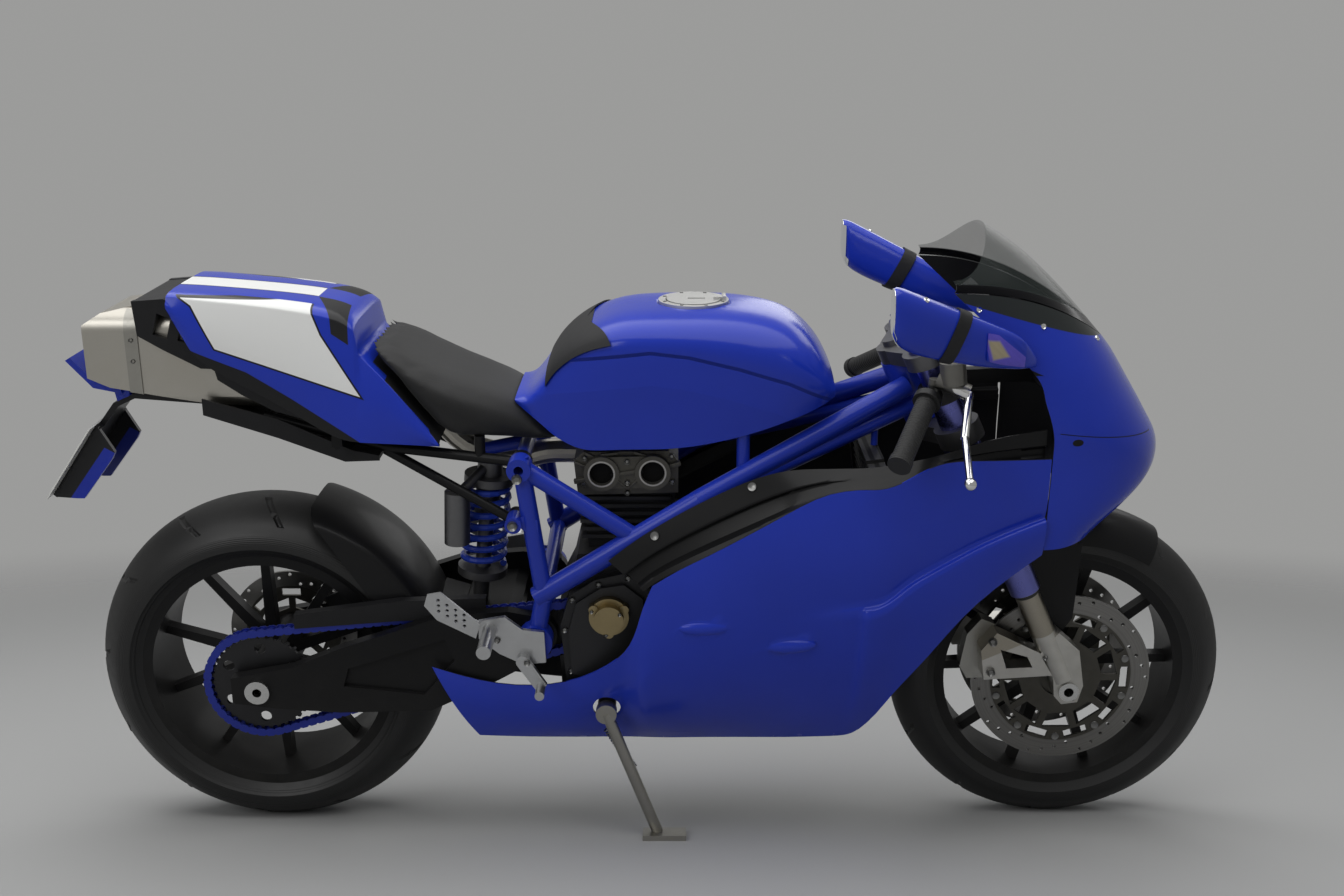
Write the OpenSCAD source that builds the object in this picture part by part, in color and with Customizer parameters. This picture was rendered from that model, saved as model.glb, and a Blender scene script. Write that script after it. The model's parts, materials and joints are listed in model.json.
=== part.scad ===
// Faired road motorcycle, parked on its side stand.
// Bike frame: x forward from the rear axle, y to the left, z up from the road when upright.
// The finished bike is leaned about its wheel line and set with the floor at z = 0.

/* [Stance] */
// Lean on the side stand, degrees
lean = 16.5; // [15:0.5:18]
// Distance between the axles
wheelbase = 1420; // [1400:5:1440]
// Angle of the fork from upright, degrees
rake = 24.5; // [23.5:0.5:25.5]
// Distance of the fork legs ahead of the steering axis
fork_offset = 36; // [30:1:40]

/* [Wheels] */
// Radius of the front tyre
front_tyre_r = 300; // [294:1:304]
// Width of the front tyre
front_tyre_w = 120; // [110:1:122]
// Crown radius of the front tyre
front_crown_r = 62; // [62:1:68]
// Radius of the rear tyre
rear_tyre_r = 313; // [308:1:316]
// Width of the rear tyre
rear_tyre_w = 186; // [176:1:188]
// Crown radius of the rear tyre
rear_crown_r = 106; // [100:1:112]
// Height of the front tyre above its bead seat
front_side_h = 84; // [80:1:90]
// Height of the rear tyre above its bead seat
rear_side_h = 97; // [92:1:102]
// Thickness of the tyre walls
tyre_wall = 10; // [8:0.5:14]
// Spoke pairs in a wheel
spoke_pairs = 5; // [5:1:6]
// Width of a spoke at the rim
spoke_w = 15; // [12:0.5:20]
// Radius of the front axle
front_axle_r = 12.5; // [10:0.5:15]
// Radius of the rear axle
rear_axle_r = 12.5; // [10:0.5:15]

/* [Brakes] */
// Radius of the front discs
front_disc_r = 160; // [150:1:164]
// Radius of the rear disc
rear_disc_r = 120; // [110:1:125]
// Thickness of the discs
disc_t = 5; // [4:0.5:6]

/* [Chain] */
// Teeth of the rear sprocket
sprocket_teeth = 38; // [36:1:40]
// Teeth of the drive sprocket
drive_teeth = 15; // [14:1:16]
// Pitch of the chain
chain_pitch = 15.875; // [15:0.125:16]
// Height of the chain plates
chain_plate_h = 14; // [12:0.5:16]

/* [Fork and frame] */
// Radius of the fork's outer tubes
fork_outer_r = 27; // [25:0.5:28]
// Radius of the fork's sliders
fork_slider_r = 21.5; // [20:0.5:23]
// Half distance between the fork legs
fork_half = 100; // [98:0.5:104]
// Radius of the main frame tubes
frame_tube_r = 18; // [15:0.5:20]
// Radius of the rear frame tubes
rear_tube_r = 15; // [13:0.5:17]
// Wire radius of the shock spring
spring_wire_r = 6; // [5:0.5:7]
// Turns of the shock spring
spring_turns = 7; // [6:1:8]

/* [Bodywork] */
// Thickness of the moulded panels
panel_t = 4; // [3:0.25:5]
// Thickness of the windscreen
screen_t = 3; // [2.5:0.25:4]
// Radius of the fuel cap
cap_r = 46; // [40:1:48]

/* [Hidden] */

blue = [0.06, 0.14, 0.72];
black = [0.06, 0.06, 0.07];
rubber = [0.04, 0.04, 0.045];
steel = [0.62, 0.62, 0.62];
cast = [0.42, 0.42, 0.43];

seat_gap = 0.3;
run_gap = 0.05;
move_gap = 2;

// Wheelbase and tyres that the tables below are drawn for
drawn_wheelbase = 1420;
drawn_front_r = 300;
drawn_rear_r = 313;
// A larger rear tyre takes its axle back, so that it keeps clear of the swingarm's bridge.
rear_x = drawn_rear_r - rear_tyre_r;
front_x = rear_x + wheelbase;
front_rise = front_tyre_r - drawn_front_r;
front_shift = front_x - drawn_wheelbase + front_rise * tan(rake);
// Rear and front end of the part of the bike that stretches
reach_zone = [560, 1060];
// Places ahead of the engine move with the steering head, places at the seat stay.
function reach(x) = x + front_shift * min(max((x - reach_zone[0]) / (reach_zone[1] - reach_zone[0]), 0), 1);
function reach_points(points) = [for (p = points) [reach(p[0]), p[1]]];
function reach_columns(rows, columns) = [
  for (r = rows)
    [for (i = [0 : len(r) - 1]) len(search(i, columns)) > 0 ? reach(r[i]) : r[i]]
];

ground_lift = rear_crown_r * (1 - cos(lean));
front_axle_z = front_tyre_r - front_crown_r + (front_crown_r - ground_lift) / cos(lean);
rear_axle_z = rear_tyre_r;
box_mid_x = 683.85;
box_mid_y = -241.43;

fork_dir = [-sin(rake), 0, cos(rake)];
fork_base = [front_x + front_rise * tan(rake), 0, front_axle_z - front_rise];
steer_base = fork_base - fork_offset * [cos(rake), 0, sin(rake)];
head_low = 540;
head_high = 655;
function on_steer(s) = steer_base + fork_dir * s;
function on_fork(s, side) = fork_base + [0, side * fork_half, 0] + fork_dir * s;

module leaned() {
  translate([-box_mid_x, -box_mid_y, ground_lift])
    rotate([lean, 0, 0])
      children();
}

module both_sides() {
  children();
  mirror([0, 1, 0]) children();
}

// A round bar from a to b.
module rod(a, b, r) {
  d = b - a;
  len = norm(d);
  translate(a)
    rotate([0, acos(d[2] / len), atan2(d[1], d[0])])
      cylinder(h = len, r = r, $fn = 48);
}

// A round bar across the bike.
module cross_bar(x, z, y0, y1, r) {
  translate([x, y1, z]) rotate([90, 0, 0]) cylinder(h = y1 - y0, r = r, $fn = 64);
}

// A plate whose outline is drawn in the side view.
module side_plate(y0, y1) {
  translate([0, y1, 0]) rotate([90, 0, 0]) linear_extrude(y1 - y0) children();
}

// A point on a smooth curve through the rows of a table, k counted in rows.
function row_at(rows, k) =
  let (
    n = len(rows),
    i = min(max(floor(k), 0), n - 2),
    t = k - i,
    p0 = rows[max(i - 1, 0)],
    p1 = rows[i],
    p2 = rows[i + 1],
    p3 = rows[min(i + 2, n - 1)]
  )
  0.5 * (2 * p1 + (p2 - p0) * t + (2 * p0 - 5 * p1 + 4 * p2 - p3) * t * t
    + (3 * p1 - p0 - 3 * p2 + p3) * t * t * t);

// Two triangles for each cell of a grid of points.
function grid_faces(rows, cols, first, flip) = [
  for (i = [0 : rows - 2], j = [0 : cols - 2])
    let (
      a = first + i * cols + j,
      b = a + 1,
      c = a + cols,
      d = c + 1
    )
    each flip ? [[a, c, b], [b, c, d]] : [[a, b, c], [b, d, c]]
];

function unit(v) = v / max(norm(v), 1e-6);
function grid_normal(g, i, j) =
  let (
    n = len(g),
    m = len(g[0]),
    du = g[min(i + 1, n - 1)][j] - g[max(i - 1, 0)][j],
    dv = g[i][min(j + 1, m - 1)] - g[i][max(j - 1, 0)]
  )
  unit(cross(du, dv));
function flat_list(g) = [for (row = g) each row];

// A moulded sheet: a grid of points and its copy moved inwards by the wall.
module sheet(g, wall) {
  rows = len(g);
  cols = len(g[0]);
  n = rows * cols;
  inner = [for (i = [0 : rows - 1]) [for (j = [0 : cols - 1]) g[i][j] - wall * grid_normal(g, i, j)]];
  edge = concat(
    [for (j = [0 : cols - 2]) [j, j + 1]],
    [for (i = [0 : rows - 2]) [i * cols + cols - 1, (i + 1) * cols + cols - 1]],
    [for (j = [cols - 1 : -1 : 1]) [(rows - 1) * cols + j, (rows - 1) * cols + j - 1]],
    [for (i = [rows - 1 : -1 : 1]) [i * cols, (i - 1) * cols]]
  );
  walls = [for (e = edge) each [[e[0], e[0] + n, e[1]], [e[1], e[0] + n, e[1] + n]]];
  polyhedron(
    points = concat(flat_list(g), flat_list(inner)),
    faces = concat(grid_faces(rows, cols, 0, false), grid_faces(rows, cols, n, true), walls),
    convexity = 6
  );
}

// A solid body through closed rings of equal count.
module loft(rings) {
  rows = len(rings);
  cols = len(rings[0]);
  sides = [
    for (i = [0 : rows - 2], j = [0 : cols - 1])
      let (
        a = i * cols + j,
        b = i * cols + (j + 1) % cols,
        c = a + cols,
        d = b + cols
      )
      each [[a, b, c], [b, d, c]]
  ];
  polyhedron(
    points = flat_list(rings),
    faces = concat(
      sides,
      [[for (j = [cols - 1 : -1 : 0]) j]],
      [[for (j = [0 : cols - 1]) (rows - 1) * cols + j]]
    ),
    convexity = 4
  );
}

// A round tube along a smooth curve, in the side view's plane.
module bent_tube(stops, r, per_row, sides) {
  last = (len(stops) - 1) * per_row;
  rings = [
    for (k = [0 : last])
      let (
        c = row_at(stops, k / per_row),
        d = unit(row_at(stops, min(k + 0.5, last) / per_row) - row_at(stops, max(k - 0.5, 0) / per_row)),
        up = unit(cross(d, [0, 1, 0])),
        side = cross(up, d)
      )
      [for (j = [0 : sides - 1]) c + r * (up * cos(360 * j / sides) + side * sin(360 * j / sides))]
  ];
  loft(rings);
}

function power_of(v, e) = sign(v) * pow(abs(v), e);
// A ring across the bike: half widths at foot and ridge, heights of foot, ridge and crown.
function body_ring(x, foot_w, foot_z, ridge_w, ridge_z, crown_z, round_e, steps) = concat(
  [for (k = [0 : steps]) let (a = 180 * k / steps)
    [x, -ridge_w * power_of(cos(a), round_e), ridge_z + (crown_z - ridge_z) * power_of(sin(a), round_e)]],
  [[x, foot_w, foot_z], [x, -foot_w, foot_z]]
);

// Wheels

module tyre_section(r, w, crown_r, bead_r, bead_w) {
  shoulder = crown_r - sqrt(crown_r * crown_r - w * w / 4);
  intersection() {
    translate([r - crown_r, 0]) circle(crown_r, $fn = 120);
    translate([r - shoulder, -w]) square([shoulder + 1, 2 * w]);
  }
  polygon([
    [bead_r, -bead_w / 2], [bead_r + flange_h + 1, -bead_w / 2], [r - shoulder, -w / 2],
    [r - shoulder, w / 2], [bead_r + flange_h + 1, bead_w / 2], [bead_r, bead_w / 2]
  ]);
}

flange_h = 9;
flange_t = 5;
front_bead_r = front_tyre_r - front_side_h;
rear_bead_r = rear_tyre_r - rear_side_h;
front_bead_w = 88;
rear_bead_w = 140;

module tyre(r, w, crown_r, bead_r, bead_w) {
  rotate([90, 0, 0]) rotate_extrude($fn = 160) difference() {
    tyre_section(r, w, crown_r, bead_r, bead_w);
    tyre_section(r - tyre_wall, w - 2 * tyre_wall, crown_r - tyre_wall / 2, bead_r, bead_w - 2 * tyre_wall);
    translate([bead_r - 1, tyre_wall - bead_w / 2]) square([3, bead_w - 2 * tyre_wall]);
  }
}

rim_wall = 9;
hub_r = 36;
spoke_t = 22;

module spoke(angle_root, angle_tip, r_root, r_tip) {
  root_half = 11;
  root = r_root * [cos(angle_root), sin(angle_root)];
  tip = r_tip * [cos(angle_tip), sin(angle_tip)];
  side = [sin(angle_tip), -cos(angle_tip)];
  polygon([
    root + side * root_half, tip + side * spoke_w / 2, tip - side * spoke_w / 2, root - side * root_half
  ]);
}

// Cast wheel with its spokes in pairs, open in the middle for the axle.
module cast_wheel(bead_r, bead_w, hub_y0, hub_y1, bore_r, turn) {
  seat_r = bead_r - seat_gap;
  rim_in = seat_r - rim_wall;
  half = bead_w / 2 + flange_t + seat_gap;
  pair_half = 360 / spoke_pairs / 4;
  rotate([90, 0, 0]) rotate_extrude($fn = 160) {
    translate([rim_in, -half]) square([rim_wall, 2 * half]);
    for (s = [-1, 1])
      translate([rim_in, s > 0 ? half - flange_t : -half]) square([rim_wall + flange_h, flange_t]);
  }
  difference() {
    union() {
      translate([0, hub_y1, 0]) rotate([90, 0, 0]) cylinder(h = hub_y1 - hub_y0, r = hub_r, $fn = 96);
      rotate([90, 0, 0]) translate([0, 0, -spoke_t / 2]) linear_extrude(spoke_t)
        for (k = [0 : spoke_pairs - 1], s = [-1, 1])
          spoke(turn + 360 / spoke_pairs * k + s * 4, turn + 360 / spoke_pairs * k + s * (pair_half - 1),
            hub_r - 6, rim_in + 3);
    }
    rotate([90, 0, 0]) cylinder(h = 2 * (hub_y1 - hub_y0), r = bore_r + run_gap, center = true, $fn = 96);
  }
}

module at_front() { translate([front_x, 0, front_axle_z]) children(); }
module at_rear() { translate([rear_x, 0, rear_axle_z]) children(); }

front_hub_half = 54;
disc_y = 60;
front_turn = 20;
rear_turn = 38;
module front_tyre() {
  color(rubber) at_front() tyre(front_tyre_r, front_tyre_w, front_crown_r, front_bead_r, front_bead_w);
}
module rear_tyre() {
  color(rubber) at_rear() tyre(rear_tyre_r, rear_tyre_w, rear_crown_r, rear_bead_r, rear_bead_w);
}
module front_rim() {
  color(black) at_front()
    cast_wheel(front_bead_r, front_bead_w, -front_hub_half, front_hub_half, front_axle_r, front_turn);
}
rear_hub_y0 = -98;
rear_disc_y = 98;
rear_hub_y1 = rear_disc_y - seat_gap;
module rear_rim() {
  color(black) at_rear()
    cast_wheel(rear_bead_r, rear_bead_w, rear_hub_y0, rear_hub_y1, rear_axle_r, rear_turn);
}

// A drilled ring with a slotted carrier; holes follow three rows along each sector.
module brake_disc(r, band, carrier_r, bore_r, sectors) {
  hole_r = 3.2;
  spoke_w = 13;
  slot_out = r - band - 5;
  slot_in = slot_out - 14;
  window_out = slot_in - 8;
  half_turn = tan(180 / sectors);
  in_half = carrier_r * half_turn - spoke_w / 2;
  out_half = window_out * half_turn - spoke_w / 2;
  rotate([90, 0, 0]) linear_extrude(disc_t) difference() {
    circle(r, $fn = 160);
    circle(r - band, $fn = 160);
    for (k = [0 : sectors - 1], j = [0 : 3])
      rotate(360 / sectors * (k + j / 4))
        translate([r - band * (0.2 + 0.2 * j), 0]) circle(hole_r, $fn = 24);
  }
  rotate([90, 0, 0]) linear_extrude(disc_t) difference() {
    circle(r - band, $fn = 160);
    circle(bore_r, $fn = 96);
    for (k = [0 : sectors - 1])
      rotate(360 / sectors * k) {
        translate([slot_in, -0.6 * slot_in * half_turn]) square([14, 1.2 * slot_in * half_turn]);
        rotate(180 / sectors) polygon([
          [carrier_r, -in_half], [window_out, -out_half], [window_out, out_half], [carrier_r, in_half]
        ]);
      }
  }
}
front_band = 34;
front_carrier_r = 72;
front_sectors = 10;
disc_spacer_r = 62;
rear_band = 30;
rear_carrier_r = 44;
rear_sectors = 8;
axle_room = 6;
module front_discs() {
  color(steel) at_front() for (s = [-1, 1])
    translate([0, s > 0 ? disc_y + disc_t : -disc_y, 0])
      brake_disc(front_disc_r, front_band, front_carrier_r, hub_r + seat_gap, front_sectors);
  color(cast) at_front() for (s = [-1, 1])
    translate([0, s > 0 ? disc_y - seat_gap : -front_hub_half - seat_gap, 0])
      rotate([90, 0, 0]) linear_extrude(disc_y - front_hub_half - 2 * seat_gap) difference() {
        circle(disc_spacer_r, $fn = 96);
        circle(front_axle_r + 4, $fn = 64);
      }
}
module rear_disc() {
  color(steel) at_rear() translate([0, rear_disc_y + disc_t, 0])
    brake_disc(rear_disc_r, rear_band, rear_carrier_r, rear_axle_r + axle_room, rear_sectors);
}

chain_y = -110;
sprocket_t = 6;
sprocket_holes = 6;
sprocket_hole_at = 66;
sprocket_carrier_r = 50;
roller_r = 5;
sprocket_pitch_r = chain_pitch / (2 * sin(180 / sprocket_teeth));
drive_pitch_r = chain_pitch / (2 * sin(180 / drive_teeth));
module sprocket() {
  tip_r = sprocket_pitch_r - roller_r - 0.6;
  root_r = tip_r - 5;
  tooth = 360 / sprocket_teeth;
  outline = [for (k = [0 : sprocket_teeth - 1]) each [
    root_r * [cos(tooth * (k - 0.3)), sin(tooth * (k - 0.3))],
    tip_r * [cos(tooth * (k - 0.12)), sin(tooth * (k - 0.12))],
    tip_r * [cos(tooth * (k + 0.12)), sin(tooth * (k + 0.12))],
    root_r * [cos(tooth * (k + 0.3)), sin(tooth * (k + 0.3))]
  ]];
  color([0.16, 0.16, 0.17]) at_rear() translate([0, chain_y + sprocket_t / 2, 0]) rotate([90, 0, 0])
    linear_extrude(sprocket_t) difference() {
      polygon(outline);
      circle(rear_axle_r + axle_room, $fn = 64);
      for (k = [0 : sprocket_holes - 1])
        rotate(360 / sprocket_holes * (k + 0.5)) translate([sprocket_hole_at, 0]) circle(10, $fn = 32);
    }
  color(cast) at_rear() translate([0, rear_hub_y0 - seat_gap, 0]) rotate([90, 0, 0])
    linear_extrude(rear_hub_y0 - seat_gap - chain_y - sprocket_t / 2) difference() {
      circle(sprocket_carrier_r, $fn = 96);
      circle(rear_axle_r + axle_room, $fn = 64);
    }
}

// Rear suspension and drive

arm_in = 122;
arm_out = 144;
pivot = [488, 420];
axle_end = 152;
arm_bridge_x = 348;
module rear_axle() {
  color(steel) difference() {
    union() {
      cross_bar(rear_x, rear_axle_z, -axle_end, axle_end, rear_axle_r);
      cross_bar(rear_x, rear_axle_z, -axle_end, -arm_out - seat_gap, rear_axle_r + 9);
      cross_bar(rear_x, rear_axle_z, arm_out + seat_gap, axle_end, rear_axle_r + 9);
    }
    cross_bar(rear_x, rear_axle_z, -axle_end - 1, axle_end + 1, rear_axle_r - 4.5);
  }
}

module swingarm() {
  tail = 46;
  pivot_r = 36;
  color(black) difference() {
    union() {
      both_sides() side_plate(-arm_out, -arm_in) {
        polygon([
          [rear_x - tail, rear_axle_z - 24], [rear_x - tail, rear_axle_z + 24],
          [rear_x + 60, rear_axle_z + 44], [150, rear_axle_z + 82],
          [330, rear_axle_z + 142], [440, pivot[1] + 44], [pivot[0] + 24, pivot[1] + 30],
          [pivot[0] + 24, pivot[1] - 34], [400, rear_axle_z + 10], [300, rear_axle_z - 38],
          [140, rear_axle_z - 42], [rear_x + 30, rear_axle_z - 34]
        ]);
        translate(pivot) circle(pivot_r, $fn = 64);
      }
      side_plate(-arm_in - 1, arm_in + 1)
        polygon([[arm_bridge_x, 362], [arm_bridge_x, 422], [430, 430], [450, 424], [450, 392], [400, 358]]);
      cross_bar(pivot[0], pivot[1], -arm_in - 1, arm_in + 1, pivot_rod_r + 9);
      both_sides() cross_bar(rear_x, rear_axle_z, -arm_in - 1, -arm_in + 3, rear_axle_r + 10);
    }
    cross_bar(rear_x, rear_axle_z, -arm_out - 1, arm_out + 1, rear_axle_r + run_gap);
    cross_bar(pivot[0], pivot[1], -arm_out - 1, arm_out + 1, pivot_rod_r + run_gap);
    both_sides() side_plate(-arm_out - 1, -arm_out + 8)
      translate([0, rear_axle_z]) polygon([[150, 9], [160, 43], [330, 99], [345, 59], [290, -7]]);
  }
}

// Chain loop: line, wrap on the rear sprocket, line, wrap on the drive sprocket.
drive_at = [562, 428];
chain_half = 8;
chain_plate_t = 2.2;
rear_c = [rear_x, rear_axle_z];
chain_span = norm(drive_at - rear_c);
chain_tilt = atan2(drive_at[1] - rear_axle_z, drive_at[0] - rear_x);
chain_taper = asin((sprocket_pitch_r - drive_pitch_r) / chain_span);
chain_run = sqrt(chain_span * chain_span - pow(sprocket_pitch_r - drive_pitch_r, 2));
rear_wrap = 180 + 2 * chain_taper;
drive_wrap = 180 - 2 * chain_taper;
rear_arc = sprocket_pitch_r * rear_wrap * PI / 180;
drive_arc = drive_pitch_r * drive_wrap * PI / 180;
chain_len = 2 * chain_run + rear_arc + drive_arc;
link_count = 2 * round(chain_len / chain_pitch / 2);
top_dir = chain_tilt - chain_taper;
low_dir = chain_tilt + chain_taper;
// Place along the loop and the outward normal there, off = distance outside the pitch line.
function chain_point(s, off) =
  let (
    u = s - floor(s / chain_len) * chain_len,
    top_n = [-sin(top_dir), cos(top_dir)],
    low_n = [sin(low_dir), -cos(low_dir)]
  )
  u < chain_run
    ? rear_c + top_n * (sprocket_pitch_r + off) + [cos(top_dir), sin(top_dir)] * u
    : u < chain_run + drive_arc
    ? let (a = 90 + top_dir - (u - chain_run) / drive_arc * drive_wrap)
      drive_at + (drive_pitch_r + off) * [cos(a), sin(a)]
    : u < 2 * chain_run + drive_arc
    ? drive_at + low_n * (drive_pitch_r + off)
      - [cos(low_dir), sin(low_dir)] * (u - chain_run - drive_arc)
    : let (a = low_dir - 90 - (u - 2 * chain_run - drive_arc) / rear_arc * rear_wrap)
      rear_c + (sprocket_pitch_r + off) * [cos(a), sin(a)];

module chain_plates() {
  step = chain_len / link_count;
  half = chain_plate_h / 2;
  waist = half * 0.68;
  shape = [[-0.28, half], [0.28, half], [0.5, waist]];
  outer = [for (k = [0 : link_count - 1], p = shape) chain_point((k + p[0]) * step, p[1])];
  inner = [for (k = [0 : link_count - 1], p = shape) chain_point((k + p[0]) * step, -p[1])];
  n = len(outer);
  polygon(
    concat(outer, inner),
    paths = [[for (i = [0 : n - 1]) i], [for (i = [0 : n - 1]) n + i]]
  );
}
module chain() {
  step = chain_len / link_count;
  color(blue * 0.8) {
    side_plate(chain_y - chain_half, chain_y - chain_half + chain_plate_t) chain_plates();
    side_plate(chain_y + chain_half - chain_plate_t, chain_y + chain_half) chain_plates();
    for (k = [0 : link_count - 1])
      let (p = chain_point(k * step, 0))
      cross_bar(p[0], p[1], chain_y - chain_half + chain_plate_t - 0.5,
        chain_y + chain_half - chain_plate_t + 0.5, roller_r);
  }
}

module chain_guard() {
  y1 = -arm_in + seat_gap;
  color(black) {
    side_plate(y1, y1 + 2)
      polygon([[66, 421], [66, 446], [250, 472], [400, 478], [400, 440], [250, 436]]);
    side_plate(y1, y1 + 18)
      polygon([[66, 444], [66, 447], [250, 473], [400, 479], [400, 476], [250, 470]]);
  }
}

hugger_gap = 14;
hugger_half = 102;
hugger_to = 73;
hugger_r = rear_tyre_r + hugger_gap;
hugger_foot_x = 303;
hugger_from = acos((hugger_foot_x - rear_x) / hugger_r);
hugger_side_t = 2.5;
hugger_tab_half = 60;
hugger_tab_z = [416, 424];
function hugger_at(a, out) = rear_c + (hugger_r + out) * [cos(a), sin(a)];
module hugger() {
  steps = 16;
  end = 0.6;
  span = hugger_to - hugger_from - 2 * end;
  tab_x = arm_bridge_x - seat_gap;
  side_y = -hugger_half + 0.5;
  color(black) {
    at_rear() rotate([90, 0, 0])
      rotate_extrude(angle = hugger_to - hugger_from, start = hugger_from, $fn = 160)
        translate([hugger_r, -hugger_half]) square([panel_t, 2 * hugger_half]);
    both_sides() side_plate(side_y, side_y + hugger_side_t)
      polygon(concat(
        [for (k = [0 : steps]) hugger_at(hugger_from + end + span * k / steps, panel_t / 2)],
        [hugger_at(hugger_to - 5, -8), hugger_at(hugger_to - 17, -52), hugger_at(hugger_from + 20, -78),
          hugger_at(hugger_from + 8, -66), hugger_at(hugger_from + 1, -24)]
      ));
    side_plate(-hugger_tab_half, hugger_tab_half)
      polygon([
        hugger_at(hugger_from + 1, 1), hugger_at(hugger_from + 2.2, 3),
        [tab_x, hugger_tab_z[1]], [tab_x, hugger_tab_z[0]]
      ]);
  }
}

rear_caliper_at = 24;
module rear_caliper() {
  y0 = rear_disc_y - 10;
  y1 = arm_in - seat_gap;
  color(black) at_rear() difference() {
    rotate([0, -rear_caliper_at, 0]) translate([88, y0, -38]) cube([44, y1 - y0, 76]);
    translate([0, rear_disc_y + disc_t + move_gap, 0]) rotate([90, 0, 0])
      cylinder(h = disc_t + 2 * move_gap, r = rear_disc_r + move_gap + 1, $fn = 128);
  }
}

shock_top = [404, -14, 700];
shock_low = [380, -14, 474];
spring_r = 36;
shock_tail = 46.5;
seat_low = 22;
seat_high = 182;
spring_seat_t = 14;
spring_seat_r = spring_r + 8;
damper_rod_r = 14;
damper_r = 22;
damper_from = 118;
// Reservoir beside the shock: low and high end, its hose's root
reservoir_low = [350, -86, 568];
reservoir_high = [354, -86, 662];
hose_root = [352, -86, 652];
hose_r = 9;
module shock() {
  d = unit(shock_top - shock_low);
  color(cast) {
    rod(shock_low - d * shock_tail, shock_low + d * (damper_from + 2), damper_rod_r);
    rod(shock_low + d * (seat_low - spring_seat_t), shock_low + d * seat_low, spring_seat_r);
    rod(shock_low + d * damper_from, shock_top, damper_r);
    rod(shock_low + d * seat_high, shock_low + d * (seat_high + spring_seat_t), spring_seat_r);
    rod(reservoir_low, reservoir_high, damper_r);
    rod(hose_root, shock_top - d * 10, hose_r);
  }
}

// Coil of round wire swept along a helix.
module spring() {
  d = unit(shock_top - shock_low);
  h0 = seat_low + seat_gap + spring_wire_r;
  h1 = seat_high - seat_gap - spring_wire_r;
  steps = 18;
  sides = 8;
  tilt = [d[2], 0, -d[0]];
  rings = [
    for (k = [0 : spring_turns * steps])
      let (
        a = 360 * k / steps,
        out = tilt * cos(a) + [0, 1, 0] * sin(a),
        c = shock_low + d * (h0 + (h1 - h0) * k / (spring_turns * steps)) + out * spring_r
      )
      [for (j = [0 : sides - 1]) let (b = 360 * j / sides) c + spring_wire_r * (out * cos(b) + d * sin(b))]
  ];
  color(blue) loft(rings);
}

// Frame

pivot_rod_r = 12;
frame_out = 176;
seat_post = [470, 730];
low_joint = [506, 507];
// Tubes of one side: start x, y, z, end x, y, z, radius
tube_rows = reach_columns([
  [low_joint[0] - 14, -160, low_joint[1] - 8, 768, -164, 676, frame_tube_r],
  [762, -164, 672.5, 1122, -42, 838, frame_tube_r],
  [seat_post[0] - 6, -153, seat_post[1] + 4, 655, -159, 611, rear_tube_r],
  [seat_post[0], -153, seat_post[1] + 16, low_joint[0], -160, low_joint[1] - 14, rear_tube_r],
  [low_joint[0] + 2, -160, low_joint[1] + 12, pivot[0] - 3, -160, pivot[1] - 20, rear_tube_r],
  [820, -147, 690, 1140, -28, 803, rear_tube_r]
], [0, 3]);
tank_peg = [reach(840), -122, 786];
tank_peg_r = 11;
tank_peg_len = 86;
radiator_peg = [reach(1068), -56, 736.6];
radiator_peg_len = 44;
module frame() {
  color(blue) difference() {
    union() {
      both_sides() {
        for (t = tube_rows) rod([t[0], t[1], t[2]], [t[3], t[4], t[5]], t[6]);
        cross_bar(pivot[0], pivot[1], -frame_out, -arm_out - 1, 30);
        cross_bar(seat_post[0], seat_post[1], -frame_out, -sub_seat, 20);
        cross_bar(458, 634, -frame_out, -sub_seat, 14);
        rod(tank_peg - [0, 0, tank_peg_len], tank_peg - [0, 0, seat_gap], tank_peg_r);
        rod(radiator_peg, radiator_peg + [0, 0, radiator_peg_len], 6);
        side_plate(-frame_out + 8, -arm_out - 2)
          polygon([[462, 634], [474, 648], [498, 640], [500, 600]]);
      }
      cross_bar(seat_post[0], seat_post[1], -150, 150, 13);
      cross_bar(low_joint[0], low_joint[1], -150, 150, 13);
      rod(on_steer(head_low), on_steer(head_high), 36);
      rod([seat_post[0], shock_top[1], seat_post[1]], shock_top + [-12, 0, 14.2], 12);
    }
    rod(on_steer(head_low - 1), on_steer(head_high + 1), stem_r + run_gap);
    cross_bar(seat_post[0], seat_post[1], -frame_out - 1, frame_out + 1, 8);
  }
  color(steel) cross_bar(pivot[0], pivot[1], -frame_out - 6, frame_out + 6, pivot_rod_r);
}

sub_seat = 137.5;
sub_in = sub_seat - seat_gap;
seat_peg = [400, 114, 771.6];
tail_lug_y = 133.4 - panel_t - seat_gap;
module subframe() {
  color(black) difference() {
    union() {
      both_sides() {
        rod([seat_post[0] - 12, -126, seat_post[1]], [232, -82, 742], 9);
        rod([446, -126, 630], [236, -82, 736], 8.5);
        rod([240, -82, 740], [30, -66, 792], 8);
        cross_bar(seat_post[0], seat_post[1], -sub_in, -118, 18);
        cross_bar(458, 634, -sub_in, -118, 13);
        rod([seat_peg[0], -seat_peg[1], 731], [seat_peg[0], -seat_peg[1], seat_peg[2]], 9);
        cross_bar(165, 759, -tail_lug_y, -70, 7);
        side_plate(-tail_lug_y, -tail_lug_y + 5) polygon([[156, 756], [158, 806], [172, 806], [174, 756]]);
      }
      cross_bar(240, 741, -82, 82, 7.5);
      cross_bar(40, 789.5, -66, 66, 7);
    }
    cross_bar(seat_post[0], seat_post[1], -160, 160, 13 + seat_gap);
  }
}

// Engine

case_half = chain_half - chain_y;
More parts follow.
